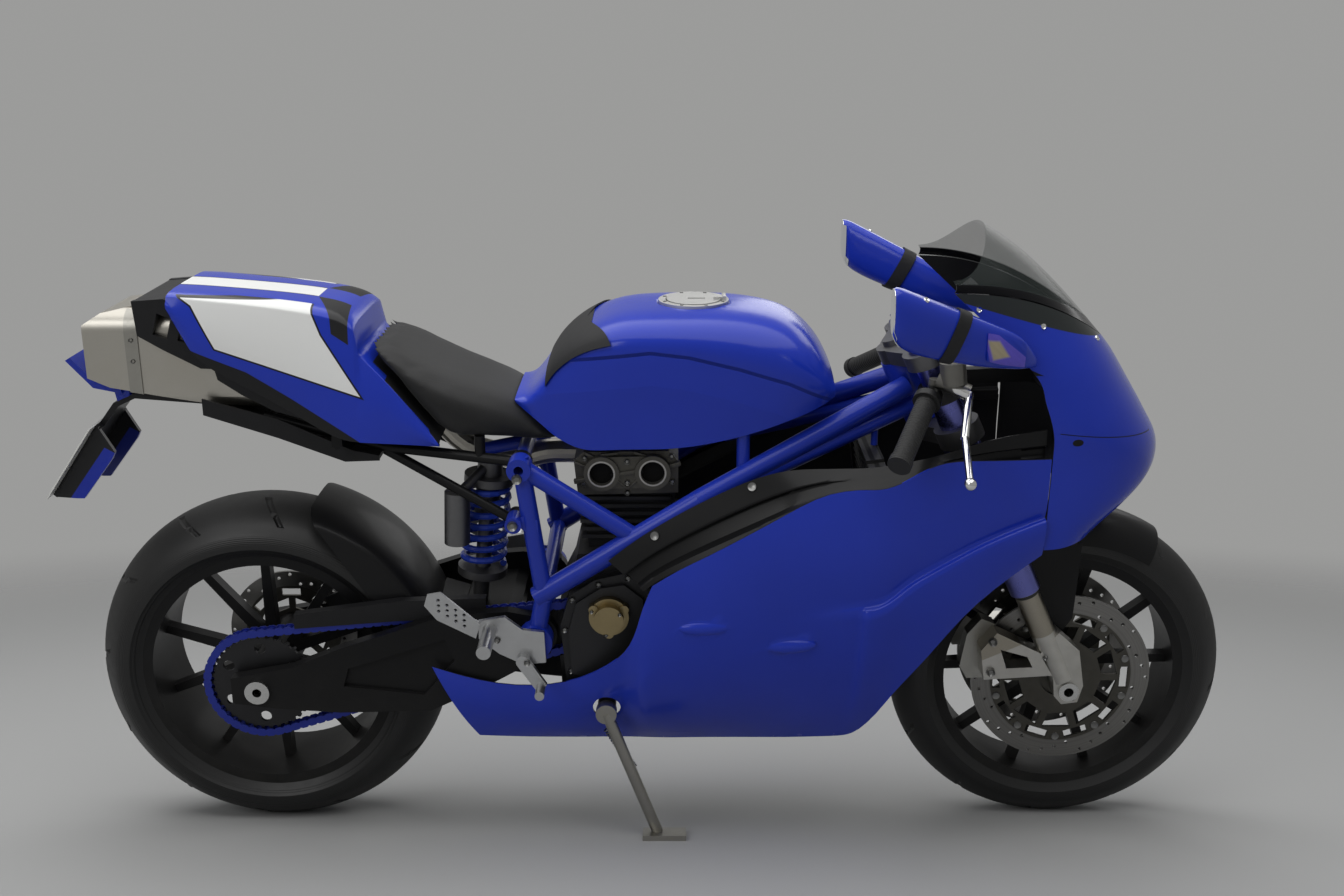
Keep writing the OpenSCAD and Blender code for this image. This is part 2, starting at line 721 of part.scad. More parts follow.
// Studs that carry the side panels: x, z, half width of the panel there
fairing_studs = [[reach(730), 520, 242.2], [reach(990), 420, 216.4]];
module engine() {
  color([0.23, 0.23, 0.24]) {
    difference() {
      side_plate(-case_half, case_half)
        polygon(reach_points([
          [528, 318], [522, 440], [540, 476], [560, 560], [730, 566], [760, 500], [770, 330], [730, 288],
          [560, 286]
        ]));
      side_plate(-case_half - 1, chain_y + chain_half + 4) {
        translate(drive_at) circle(drive_pitch_r + chain_plate_h / 2 + 6, $fn = 64);
        polygon([drive_at + [0, 51], drive_at + [-80, 44], drive_at + [-80, -70], drive_at + [0, -51]]);
      }
    }
    cross_bar(drive_at[0], drive_at[1], chain_y - sprocket_t / 2, chain_y + sprocket_t / 2,
      drive_pitch_r - roller_r - 0.6);
    cross_bar(drive_at[0], drive_at[1], chain_y, chain_y + chain_half + 6, 16);
    side_plate(-86, 86) polygon([[578, 560], [566, 668], [728, 672], [720, 560]]);
    side_plate(-108, 108)
      polygon([[562, 664], [556, 724], [572, 740], [716, 742], [732, 724], [732, 668]]);
    side_plate(-86, 86) polygon(reach_points([[760, 500], [960, 470], [960, 350], [764, 334]]));
    side_plate(-104, 104) polygon(reach_points([[944, 486], [1010, 472], [1018, 360], [944, 336]]));
    for (k = [0 : 5]) side_plate(-96, 96)
      translate([566 - k, 580 + 14 * k]) square([158, 6]);
  }
  color(cast) difference() {
    union() {
      cross_bar(603, 706, -124, -100, 30);
      cross_bar(689, 708, -124, -100, 30);
      side_plate(-118, -100) polygon([[603, 678], [689, 680], [689, 736], [603, 734]]);
    }
    cross_bar(603, 706, -126, -112, 20);
    cross_bar(689, 708, -126, -112, 20);
  }
  color(cast) {
    cross_bar(stand_pivot[0], stand_pivot[2], -stand_lug_y, -case_half + 1, 16);
    for (t = fairing_studs) both_sides() cross_bar(t[0], t[1], -t[2] + panel_t, -84, 7);
  }
}

slave_at = [614, 462];
slave_r = 34;
cover_t = 24;
cover_rim_t = 8;
module engine_cover() {
  cover_y = -case_half - seat_gap;
  color([0.1, 0.1, 0.11]) {
    side_plate(cover_y - cover_t, cover_y) difference() {
      polygon([
        [538, 330], [530, 440], [546, 492], [590, 522], [650, 536], [690, 500], [694, 400], [664, 340],
        [600, 316]
      ]);
      translate(slave_at) circle(slave_r + seat_gap, $fn = 64);
    }
    side_plate(cover_y - cover_t - cover_rim_t, cover_y - cover_t) difference() {
      polygon([
        [548, 350], [544, 430], [558, 482], [600, 510], [640, 516], [672, 490], [674, 410], [650, 356],
        [600, 334]
      ]);
      translate(slave_at) circle(slave_r + seat_gap, $fn = 64);
    }
  }
}

slave_len = 44;
slave_cap_r = 25;
module slave_cylinder() {
  color([0.5, 0.36, 0.2])
    translate([slave_at[0], -case_half - seat_gap, slave_at[1]]) rotate([90, 0, 0]) {
      cylinder(h = slave_len, r = slave_r, $fn = 64);
      translate([0, 0, slave_len - 1]) cylinder(h = 15, r = slave_cap_r, $fn = 64);
      translate([0, 0, slave_len - 11]) for (a = [30, 150, 270])
        rotate(a) translate([slave_r - 4, 0, 0]) cylinder(h = 14, r = 8, $fn = 32);
    }
}

module radiator() {
  fins = 14;
  color([0.18, 0.18, 0.19]) translate([reach(1086) - max(front_rise, 0), 0, 540]) rotate([0, -8, 0]) {
    for (s = [-1, 1]) translate([-14, s * 138 - 14, 0]) cube([30, 28, 190]);
    for (k = [0 : fins]) translate([-10, -126, 4 + 182 / fins * k - 1.2]) cube([22, 252, 2.4]);
    for (k = [-2 : 2]) translate([-8, k * 56 - 2, 0]) cube([18, 4, 190]);
    translate([-14, -130, -6]) cube([30, 260, 8]);
    translate([-14, -130, 188]) cube([30, 260, 8]);
  }
}

// Exhaust

silencer_front = 150;
silencer_half = 84;
pipe_r = 22;
// Stops along the middle of the tail pipe
pipe_rows = [
  [556.6, 56, 688], [500, 56, 688], [440, 60, 676], [352, 62, 700], [290, 60, 772],
  [236, 56, 850], [194, 56, 858], [176, 56, 858], [silencer_front + seat_gap, 56, 858]
];
module exhaust_pipe() {
  color([0.36, 0.34, 0.31]) bent_tube(pipe_rows, pipe_r, 4, 16);
}

silencer_corner = 36;
silencer_room_half = 58;
outlet_w = 48;
outlet_h = 66;
outlet_z = 876;
outlet_y = 34;
module silencer() {
  z0 = 800;
  corner_y = silencer_half - silencer_corner;
  color([0.55, 0.52, 0.48]) difference() {
    intersection() {
      side_plate(-silencer_half, silencer_half)
        polygon([
          [-256, 862], [-256, 952], [-228, 970], [-160, 982], [0, 968], [silencer_front, 914],
          [silencer_front, 804], [-54, 816], [-220, 846]
        ]);
      translate([-300, 0, z0]) rotate([90, 0, 90]) linear_extrude(500) {
        translate([-silencer_half, 30]) square([2 * silencer_half, 110]);
        translate([-corner_y - 2, -2]) square([2 * corner_y + 4, 200]);
        for (s = [-1, 1], z = [silencer_corner, 140])
          translate([s * corner_y, z]) circle(silencer_corner, $fn = 64);
      }
    }
    side_plate(-silencer_room_half, silencer_room_half)
      polygon([
        [-248, 874], [-248, 944], [-222, 960], [-160, 970], [0, 958], [silencer_front - 8, 908],
        [silencer_front - 8, 814], [-54, 826], [-218, 856]
      ]);
    for (s = [-1, 1])
      translate([-260, s * outlet_y - outlet_w / 2, outlet_z]) cube([30, outlet_w, outlet_h]);
  }
}

shield_t = 12;
module silencer_shield() {
  color(black) {
    both_sides() side_plate(-silencer_half - shield_t, -silencer_half - seat_gap) difference() {
      polygon([
        [-160, 938], [-164, 996], [-112, 1000], [-60, 984], [10, 924], [10, 880], [-60, 882], [-120, 914]
      ]);
      for (k = [0, 1]) translate([-134 + 40 * k, 940 - 10 * k])
        polygon([[0, 0], [22, -8], [32, 26], [10, 36]]);
    }
    side_plate(-silencer_half - 1, silencer_half + 1)
      polygon([[-163, 988], [-163.5, 995], [-112, 999], [-112, 991]]);
  }
}

// Fuel tank, seat and tail

// Tank sections: x, foot half width, foot z, ridge half width, ridge z, crown z, roundness
tank_rows = reach_columns([
  [458, 86, 822, 88, 825, 829, 0.7],
  [480, 97, 806, 100, 818, 838, 0.66],
  [505, 107, 787, 110, 832, 868, 0.62],
  [532, 114, 766, 118, 866, 909, 0.6],
  [575, 122, 749, 132, 896, 944, 0.6],
  [640, 130, 752, 147, 910, 970, 0.62],
  [740, 136, 757, 153, 910, 976, 0.64],
  [840, 137, 778, 156, 892, 974, 0.66],
  [920, 135, 806, 150, 868, 956, 0.7],
  [968, 125, 826, 134, 850, 916, 0.8],
  [992, 108, 838, 112, 846, 872, 0.95]
], [0]);
cap_at = [reach(758), 0, 976];
neck_r = 20;
cap_t = 7;
neck_out = cap_r + 14;
neck_depth = 60;
cap_hinge = cap_r + 6;
hinge_r = 3.6;
hinge_pin_r = 1.6;
hinge_h = 3 + hinge_r + 2 * seat_gap;
module fuel_tank() {
  steps = 24;
  per_row = 3;
  rings = [
    for (k = [0 : (len(tank_rows) - 1) * per_row])
      let (r = row_at(tank_rows, k / per_row))
      body_ring(r[0], r[1], r[2], r[3], r[4], r[5], r[6], steps)
  ];
  color(blue) difference() {
    loft(rings);
    translate(cap_at - [0, 0, neck_depth]) cylinder(h = neck_depth + 60, r = neck_out + seat_gap, $fn = 96);
    both_sides() rod(tank_peg - [0, 0, tank_peg_len], tank_peg, tank_peg_r + seat_gap);
  }
}

module filler_neck() {
  color(steel) translate(cap_at - [0, 0, neck_depth]) difference() {
    translate([0, 0, seat_gap]) cylinder(h = neck_depth + 3, r = neck_out, $fn = 96);
    translate([0, 0, 8]) cylinder(h = neck_depth, r = neck_r, $fn = 64);
    translate([0, 0, neck_depth + 3 - cap_t]) cylinder(h = cap_t + 2, r = cap_r + move_gap, $fn = 96);
  }
  color(steel) translate(cap_at) {
    for (y = [-14, 9 + seat_gap])
      translate([cap_hinge - hinge_r, y, 2]) cube([2 * hinge_r, 5 - seat_gap, hinge_h + hinge_pin_r]);
    translate([cap_hinge, 13, hinge_h]) rotate([90, 0, 0]) cylinder(h = 26, r = hinge_pin_r, $fn = 32);
  }
}

module fuel_cap() {
  color(steel) translate(cap_at) {
    difference() {
      translate([0, 0, 3 - cap_t + seat_gap]) cylinder(h = cap_t + 1, r = cap_r, $fn = 96);
      translate([-10, -6, 3 + seat_gap - 1]) cube([30, 12, 3]);
    }
    difference() {
      union() {
        translate([cap_r - 12, -9, 3 + 2 * seat_gap]) cube([18, 18, 5]);
        translate([cap_hinge, 9, hinge_h]) rotate([90, 0, 0]) cylinder(h = 18, r = hinge_r, $fn = 32);
      }
      translate([cap_hinge, 10, hinge_h]) rotate([90, 0, 0])
        cylinder(h = 20, r = hinge_pin_r + run_gap, $fn = 32);
    }
  }
}

module tank_pad() {
  rings = [
    for (k = [0 : 8])
      let (
        grow = seat_gap + 1
      )
      [for (out = [grow + 3, grow], j = [0 : 10])
        let (
          jj = out > grow + 1 ? j : 10 - j,
          a = 14 + 15.2 * jj,
          r = row_at(tank_rows, 2.25 + (1.75 + 0.8 * abs(cos(a))) * k / 8)
        )
        [r[0], -(r[3] + out) * power_of(cos(a), r[6]),
          r[4] + (r[5] - r[4] + out) * power_of(sin(a), r[6])]]
  ];
  color(rubber) loft(rings);
}

// Seat sections: x, foot half width, foot z, ridge half width, ridge z, crown z, roundness
seat_rows = [
  [214, 96, 930, 98, 932, 936, 0.8],
  [250, 118, 893, 126, 903, 917, 0.6],
  [300, 132, 836, 142, 862, 890, 0.52],
  [350, 132, 782, 146, 826, 866, 0.5],
  [410, 124, 772, 136, 798, 844, 0.52],
  [450, 112, 766, 124, 788, 825, 0.5],
  [480, 104, 761, 114, 776, 803, 0.42],
  [505, 98, 758, 108, 766, 783, 0.4],
  [532, 86, 754, 94, 757, 762, 0.4]
];
module seat() {
  steps = 20;
  per_row = 3;
  rings = [
    for (k = [0 : (len(seat_rows) - 1) * per_row])
      let (r = row_at(seat_rows, k / per_row))
      body_ring(r[0], r[1], r[2], r[3], r[4], r[5], r[6], steps)
  ];
  color(rubber) loft(rings);
}

// Tail sections: x, foot half width, foot z, shoulder half width, shoulder z, crown z
tail_rows = [
  [-103, 106, 982, 106, 1000, 1012],
  [-78, 110, 934, 109, 998, 1011],
  [-48, 114, 892, 110, 994, 1009],
  [60, 122, 834, 113, 982, 1000],
  [160, 134, 776, 114, 962, 986],
  [200, 138, 768, 115, 942, 962],
  [208, 139, 767, 118, 905, 917],
  [250, 142, 766, 130, 868, 876],
  [300, 144, 764, 140, 812, 818],
  [338, 144, 762, 142, 768, 772]
];
module tail_cowl() {
  top_steps = 12;
  per_row = 2;
  g = [
    for (k = [0 : (len(tail_rows) - 1) * per_row])
      let (
        r = row_at(tail_rows, k / per_row),
        bow = 6
      )
      concat(
        [for (t = [0, 0.33, 0.67])
          [r[0], -(r[1] + (r[3] - r[1]) * t + bow * sin(180 * t)), r[2] + (r[4] - r[2]) * t]],
        [for (j = [0 : top_steps]) let (a = 180 * j / top_steps)
          [r[0], -r[3] * power_of(cos(a), 0.5), r[4] + (r[5] - r[4]) * power_of(sin(a), 0.6)]],
        [for (t = [0.67, 0.33, 0])
          [r[0], r[1] + (r[3] - r[1]) * t + bow * sin(180 * t), r[2] + (r[4] - r[2]) * t]]
      )
  ];
  color(blue) sheet(g, panel_t);
}

module undertail() {
  color(black) side_plate(-98, 98)
    polygon([
      [228, 725], [170, 723], [60, 767], [-60, 805], [-62, 811], [60, 774], [172, 730], [228, 732]
    ]);
  color(black) both_sides() side_plate(-102, -98)
    polygon([[228, 732], [228, 723], [170, 721], [60, 763], [-62, 803], [-62, 831], [60, 797], [184, 741]]);
}

plate_line = [[-262, 772], [-350, 646]];
plate_t = 2.5;
module plate_hanger() {
  color(black) {
    side_plate(-40, 40)
      polygon([
        [-62.3, 803], [-62.3, 810], [-200, 822], [-236, 806], plate_line[0], plate_line[1], [-344, 641],
        [-255, 766], [-228, 800], [-198, 814]
      ]);
    side_plate(-60, 60) polygon([plate_line[0], plate_line[1], [-344, 641], [-255, 766]]);
    both_sides() side_plate(-62, -54)
      polygon([[-258, 769], [-234, 724], [-240, 712], [-296, 640], [-308, 640], [-346, 643]]);
  }
}

module number_plate() {
  out = unit([plate_line[1][1] - plate_line[0][1], plate_line[0][0] - plate_line[1][0]]);
  near = seat_gap * out;
  far = (seat_gap + plate_t) * out;
  color([0.92, 0.92, 0.9]) side_plate(-85, 85)
    polygon([plate_line[0] + near, plate_line[1] + near, plate_line[1] + far, plate_line[0] + far]);
}

module tail_lamp() {
  color(blue * 0.7) {
    side_plate(-52, 52)
      polygon([[-214, 826], [-262, 836], [-304, 884], [-296, 889], [-258, 850], [-216, 837]]);
    side_plate(-46, 46) polygon([[-204, 820.7], [-226, 810.9], [-230, 834], [-212, 839], [-204, 837]]);
  }
}

// Foot controls

footrest_y = -frame_out - 6 - seat_gap;
footrest_t = 8;
peg_at = [415, 452];
peg_len = 88;
peg_r = 12;
pedal_pin_r = 11;
pedal_y = footrest_y - 16;
// Carrier plate with the peg and the drilled heel guard
module footrest() {
  side_plate(footrest_y - footrest_t, footrest_y)
    polygon([
      [470, 452], [506, 448], [508, 392], [470, 388], [430, 408], [396, 436], [396, 468], [440, 476]
    ]);
  cross_bar(peg_at[0], peg_at[1], footrest_y - 4 - peg_len, footrest_y - 4, peg_r);
  side_plate(footrest_y - 15, footrest_y - 11) difference() {
    polygon([[400, 466], [336, 524], [314, 520], [308, 500], [328, 474], [392, 440]]);
    for (k = [-1 : 1], j = [0 : 3])
      translate([332 + 14 * j, 500 - 9 * j + 10 * k]) circle(3, $fn = 12);
  }
  side_plate(footrest_y - 15, footrest_y - 7) polygon([[400, 466], [392, 440], [384, 446], [392, 472]]);
}
// A pedal on its pin: pin place, toe place, outline
module pedal(pin, toe, outline) {
  cross_bar(pin[0], pin[1], pedal_y - footrest_t, footrest_y - 4, pedal_pin_r);
  side_plate(pedal_y - footrest_t, pedal_y) polygon(outline);
  cross_bar(toe[0], toe[1], pedal_y - 40, pedal_y - 2, 8);
}
module rearset_right() {
  color([0.66, 0.66, 0.66]) {
    footrest();
    pedal([470, 400], [500, 354], [[462, 392], [464, 408], [478, 408], [510, 358], [500, 346], [490, 350]]);
  }
}
module rearset_left() {
  color([0.66, 0.66, 0.66]) mirror([0, 1, 0]) {
    footrest();
    pedal([462, 404], [564, 376],
      [[452, 396], [454, 412], [470, 412], [552, 392], [572, 382], [568, 368], [540, 376]]);
  }
}

// Bodywork

// Fairing stations: top edge x, z, bottom edge x, z, half widths at mid height, top and bottom
fairing_rows = reach_columns([
  [307, 364, 380, 217, 148, 149, 120],
  [420, 330, 460, 211, 148, 149, 114],
  [540, 336, 560, 206, 151, 154, 106],
  [632, 402, 640, 203, 158, 192, 100],
  [666, 470, 680, 202, 203, 222, 100],
  [690, 552, 720, 201, 217, 231, 100],
  [780, 606, 790, 202, 228, 236, 100],
  [880, 662, 880, 203, 230, 234, 102],
  [975, 713, 965, 206, 228, 228, 106],
  [1066, 718, 1050, 230, 224, 226, 128],
  [1110, 738, 1100, 330, 220, 220, 176],
  [1160, 758, 1150, 404, 214, 210, 192],
  [1240, 757, 1228, 506, 202, 200, 192],
  [1336, 755, 1334, 586, 186, 186, 178]
], [0, 2]);
// Stations along the table, closer where the wing's rear edge steps out.
fairing_stops = concat([for (k = [0 : 17]) k / 2], [8.68, 8.76], [for (k = [18 : 26]) k / 2]);
// The wing is the lower front of the panel: it stands out under a crease that rises forward.
wing_from = 8.7;
wing_lift = 9;
wing_dip = 5;
crease_rear = 0.4;
crease_front = 0.62;
upper_steps = 7;
wing_steps = 8;
fairing_e = 2.4;
// Share of the height where the crease runs at station k.
function crease_at(k) =
  let (share = (k - wing_from) / (len(fairing_rows) - 1 - wing_from))
  crease_rear + (crease_front - crease_rear) * min(max(share, 0), 1);
// Half width at station r and share t of its height.
function fairing_half(r, t) =
  let (bulge = r[4] - r[5] - (r[6] - r[5]) * pow(0.5, fairing_e))
  r[5] + (r[6] - r[5]) * pow(t, fairing_e) + bulge * sin(180 * pow(t, 0.9));
function fairing_grid() = [
  for (k = fairing_stops)
    let (
      r = row_at(fairing_rows, k),
      c = crease_at(k),
      on = k > wing_from ? 1 : 0,
      fade = min(max((k - 7) / 1.7, 0), 1),
      shares = concat(
        [for (j = [0 : upper_steps]) c * j / upper_steps],
        [for (j = [0 : wing_steps]) c + 0.012 + (0.988 - c) * j / wing_steps]
      )
    )
    [for (j = [0 : len(shares) - 1])
      let (
        t = shares[j],
        dip = j > upper_steps ? 0 : -wing_dip * fade * pow(j / upper_steps, 3),
        lift = j > upper_steps ? wing_lift * on * (1 - pow((t - c) / (1 - c), 2)) : dip,
        y = fairing_half(r, t) + lift
      )
      [r[0] + (r[2] - r[0]) * t, -y, r[1] + (r[3] - r[1]) * t]]
];
// Blisters on the panel: x, z, half width there
blister_rows = [[reach(776), 482, 242], [reach(916), 444, 231]];
blister_size = [44, 11, 13];
stand_hole_r = 24;
module fairing() {
  sheet(fairing_grid(), panel_t);
  for (b = blister_rows)
    translate([b[0], -b[2], b[1]]) rotate([0, -2, 0]) scale(blister_size) sphere(1, $fn = 32);
}
module fairing_right() {
  color(blue) difference() {
    fairing();
    cross_bar(stand_pivot[0], stand_pivot[2], stand_pivot[1] - 60, stand_pivot[1] + 60, stand_hole_r);
  }
}
module fairing_left() { color(blue) mirror([0, 1, 0]) fairing(); }

// Inner panel stations: top edge x, z, half width, bottom edge x, z, half width, depth of the groove
inner_rows = reach_columns([
  [616, 576, 185.3, 676, 534, 214, 12],
  [700, 640, 185.3, 720, 568, 218, 14],
  [864, 722, 177.3, 880, 648, 224, 12],
  [965, 730, 170, 976, 696, 218, 4],
  [1040, 730, 168, 1062, 702, 216, 0],
  [1100, 742, 176, 1110, 722, 210, 0],
  [1160, 760, 184, 1164, 742, 199, 0],
  [1240, 786, 178, 1244, 742, 189, 6],
  [1330, 800, 172, 1330, 742, 176, 8]
], [0, 3]);
// Groove across an inner panel: share of its width, share of the depth
groove_rows = [[0, 0], [0.22, 0], [0.44, 0], [0.5, 1], [0.84, 1], [0.9, 0], [1, 0]];
inner_t = 3;
module inner_panel() {
  g = [
    for (k = [0 : (len(inner_rows) - 1) * 2])
      let (r = row_at(inner_rows, k / 2))
      [for (v = groove_rows)
        let (y = r[2] + (r[5] - r[2]) * v[0] - r[6] * v[1])
        [r[0] + (r[3] - r[0]) * v[0], -y, r[1] + (r[4] - r[1]) * v[0]]]
  ];
  sheet(g, inner_t);
}
module inner_panel_right() { color(black) inner_panel(); }
module inner_panel_left() { color(black) mirror([0, 1, 0]) inner_panel(); }

// Nose sections from bottom to top: front x, front z, back x, back z, half width
nose_rows = reach_columns([
  [1474, 655, 1337, 594, 178],
  [1546, 698, 1337, 656, 184],
  [1556, 745, 1338, 755, 187],
  [1528, 800, 1336, 800, 188],
  [1492, 858, 1320, 850, 184],
  [1467, 898, 1298, 900, 178],
  [1452, 916, 1168, 1024, 166]
], [0, 2]);
function nose_point(k, a, out) =
  let (r = row_at(nose_rows, k))
  [r[2] + (r[0] - r[2]) * power_of(cos(a), 0.9) + out * cos(a), -(r[4] + out) * sin(a) ,
    r[1] + (r[3] - r[1]) * pow(sin(a), 2)];
function nose_grid(k0, k1, per_row, half_angle, steps, out) = [
  for (i = [0 : (k1 - k0) * per_row])
    [for (j = [-steps : steps]) nose_point(k0 + i / per_row, half_angle * j / steps, out)]
];
module lamp_window(grow) {
  translate([reach(1420), 0, 0]) rotate([90, 0, 90]) linear_extrude(200)
    polygon([
      [-34 - grow, 712 - grow], [34 + grow, 712 - grow], [52 + grow, 790], [40 + grow, 862 + grow],
      [-40 - grow, 862 + grow], [-52 - grow, 790]
    ]);
}
function turned(g) = [for (row = g) [for (j = [len(row) - 1 : -1 : 0]) row[j]]];
module nose_cowl() {
  color(blue) difference() {
    sheet(turned(nose_grid(0, 6, 3, 90, 16, 0)), panel_t);
    lamp_window(0);
  }
}
lamp_back = reach(1402);
lamp_gap = panel_t + seat_gap + 0.1;
module headlamp() {
  color([0.75, 0.78, 0.82]) {
    intersection() {
      sheet(turned(nose_grid(1, 5, 3, 40, 10, -lamp_gap)), 3);
      lamp_window(8);
    }
    for (z = [752, 824])
      translate([lamp_back + 10, 0, z]) rotate([0, 90, 0]) difference() {
        cylinder(h = 50, r = 33, $fn = 64);
        translate([0, 0, 8]) cylinder(h = 50, r = 29, $fn = 64);
      }
    translate([lamp_back, -50, 712]) cube([11, 100, 150]);
  }
}

stay_root = [on_steer(600)[0] + 36 / cos(rake) + 1, on_steer(600)[2]];
stay_half = 185 - panel_t - 3 * seat_gap;
module fairing_stay() {
  color(black) {
    side_plate(-11, 11)
      polygon(concat(
        [stay_root, stay_root + [11, 26]],
        reach_points([[1330, 862], [1256, 926], [1262, 932], [1346, 864]]),
        [[lamp_back - seat_gap, 852], [lamp_back - seat_gap, 826]],
        reach_points([[1336, 836]]),
        [stay_root + [9, 2]]
      ));
    cross_bar(reach(1352), 846, -stay_half, stay_half, 9);
  }
}

// Screen sections from bottom to top: front x, front z, back x, back z, half width
screen_rows = reach_columns([
  [1452, 917.5, 1168, 1025.5, 166],
  [1378, 1000, 1170, 1030, 166],
  [1306, 1066, 1170, 1036, 164],
  [1240, 1110, 1166, 1042, 160]
], [0, 2]);
module windscreen() {
  steps = 14;
  per_row = 4;
  g = [
    for (i = [0 : 3 * per_row])
      let (r = row_at(screen_rows, i / per_row))
      [for (j = [steps : -1 : -steps]) let (a = 90 * j / steps)
        [r[2] + (r[0] - r[2]) * power_of(cos(a), 0.9), -r[4] * sin(a),
          r[1] + (r[3] - r[1]) * pow(sin(a), 2)]]
  ];
  color([0.2, 0.22, 0.24, 0.5]) sheet(g, screen_t);
}

// Mirror sections along its arm: x, y, z of the middle, half depth, half height
mirror_rows = reach_columns([
  [1300, -185.4, 918, 5, 8],
  [1268, -206, 938, 14, 26],
  [1210, -232, 958, 22, 36],
  [1150, -262, 980, 26, 42],
  [1090, -296, 1004, 28, 46],
  [1058, -312, 1020, 26, 44],
  [1048, -318, 1030, 20, 34]
], [0]);
function mirror_point(k, a, out) =
  let (r = row_at(mirror_rows, k))
  [r[0], r[1] - (r[3] + out) * power_of(cos(a), 0.7), r[2] + (r[4] + out) * power_of(sin(a), 0.7)];
module mirror_body() {
  rings = [for (k = [0 : 18]) [for (j = [23 : -1 : 0]) mirror_point(k / 3, 15 * j, 0)]];
  loft(rings);
}
module mirror_right() { color(blue) mirror_body(); }
module mirror_left() { color(blue) mirror([0, 1, 0]) mirror_body(); }
module indicators() {
  g = [for (i = [0 : 6]) [for (j = [0 : 8])
    mirror_point(0.9 + i * 0.2, (j / 8 - 0.5) * (90 - 6 * i), 2 * seat_gap)]];
  color([0.75, 0.6, 0.8]) both_sides() sheet(g, 2.6);
}

module dash() {
  color(black) translate([reach(1262), 0, 962]) rotate([0, -38, 0]) {
    translate([-11, -74, -42]) cube([22, 148, 84]);
    translate([-15, 0, 0]) rotate([0, 90, 0]) cylinder(h = 10, r = 37, $fn = 64);
  }
}

// Steering

stem_r = 16;
yoke_low = head_low - 1 - 32;
yoke_high = head_high + 1;
module yoke_plate(s, t) {
  translate(on_steer(s)) rotate([0, -rake, 0]) linear_extrude(t) difference() {
    union() {
      circle(34, $fn = 64);
      for (m = [-1, 1]) translate([fork_offset, m * fork_half]) circle(fork_outer_r + 12, $fn = 64);
      polygon([[-22, -30], [fork_offset - 18, -fork_half - 20], [fork_offset + 20, -fork_half], [34, 0],
        [fork_offset + 20, fork_half], [fork_offset - 18, fork_half + 20], [-22, 30]]);
    }
    for (m = [-1, 1]) translate([fork_offset, m * fork_half]) circle(fork_outer_r + seat_gap, $fn = 64);
  }
}
module yokes() {
  color(cast) {
    yoke_plate(yoke_low, 32);
    yoke_plate(yoke_high, 26);
    rod(on_steer(yoke_low + 20), on_steer(yoke_high + 20), stem_r);
    rod(on_steer(yoke_high + 20), on_steer(yoke_high + 36), 20);
  }
}

fork_top = 690;
fork_low = 206;
module fork_legs() {
  for (m = [-1, 1]) {
    color([0.2, 0.25, 0.6]) rod(on_fork(fork_low, m), on_fork(fork_top, m), fork_outer_r);
    color(steel) {
      rod(on_fork(front_rise / cos(rake) + 20, m), on_fork(fork_low + 10, m), fork_slider_r);
      rod(on_fork(fork_top - 1, m), on_fork(fork_top + 10, m), fork_outer_r - 6);
    }
  }
  color(cast) at_front() difference() {
    both_sides() side_plate(-fork_half - 16, -fork_half + 20) {
      polygon([[-24, -10], [-30, 46], [-56, 70], [-24, 112], [14, 78], [26, 10], [18, -22], [-10, -26]]);
      polygon([[-30, 30], [-150, 22], [-158, 78], [-132, 112], [-56, 74]]);
    }
    cross_bar(0, 0, -fork_half - 40, fork_half + 40, front_axle_r + run_gap);
    both_sides() side_plate(-fork_half - 30, -fork_half + 30)
      polygon([[-112, 44], [-124, 80], [-76, 66], [-66, 46]]);
  }
}

module front_axle() {
  end = fork_half + 22;
  color(steel) difference() {
    union() {
      cross_bar(front_x, front_axle_z, -end, end, front_axle_r);
      cross_bar(front_x, front_axle_z, -end, -fork_half - 16 - seat_gap, front_axle_r + 5);
      cross_bar(front_x, front_axle_z, fork_half + 16 + seat_gap, end, front_axle_r + 5);
    }
    cross_bar(front_x, front_axle_z, -end - 1, end + 1, front_axle_r - 4);
  }
}

module front_calipers() {
  color([0.5, 0.5, 0.5]) both_sides() at_front() difference() {
    side_plate(-fork_half + 20 + seat_gap, -disc_y + 8)
      polygon([[-172, 6], [-186, 30], [-176, 92], [-152, 122], [-128, 112], [-118, 30], [-136, 8]]);
    translate([0, -disc_y + move_gap, 0]) rotate([90, 0, 0])
      cylinder(h = disc_t + 2 * move_gap, r = front_disc_r + move_gap + 2, $fn = 160);
  }
}

grip_in = [reach(1133), -170, 847];
grip_out = grip_in + [-56, -110, -63];
clip_at = 604;
bar_r = 11;
module clip_on() {
  leg = on_fork(clip_at, -1);
  d = unit(grip_out - grip_in);
  rod(on_fork(clip_at - 16, -1), on_fork(clip_at + 16, -1), fork_outer_r + 9);
  rod(leg + [-8, -20, 0], grip_in, bar_r);
  rod(grip_in - d * 4, grip_out, 17);
  rod(grip_in - d * 8, grip_in + d * 4, 23);
  rod(grip_out - d, grip_out + d * 12, 19);
}
module clip_ons() {
  color(rubber) difference() {
    both_sides() clip_on();
    for (m = [-1, 1]) rod(on_fork(clip_at - 40, m), on_fork(clip_at + 40, m), fork_outer_r + seat_gap);
  }
}

lever_root = [reach(1200), -172, 862];
lever_knee = lever_root + [-16, -60, -58];
lever_tip = lever_root + [-24, -154, -100];
module levers() {
  color(steel) both_sides() {
    rod(lever_root, lever_knee, 7);
    rod(lever_knee + unit(lever_root - lever_knee) * 4, lever_tip, 6);
    translate(lever_tip) sphere(10, $fn = 32);
    rod(lever_root + [-50, 16, 18], lever_root, 14);
    rod([lever_root[0] - 54, -150, grip_in[2] + bar_r + seat_gap], lever_root + [-53, 21, 18], 9);
    rod(lever_root + [-24, 8, 14], lever_root + [-28, 8, 50], 21);
  }
}

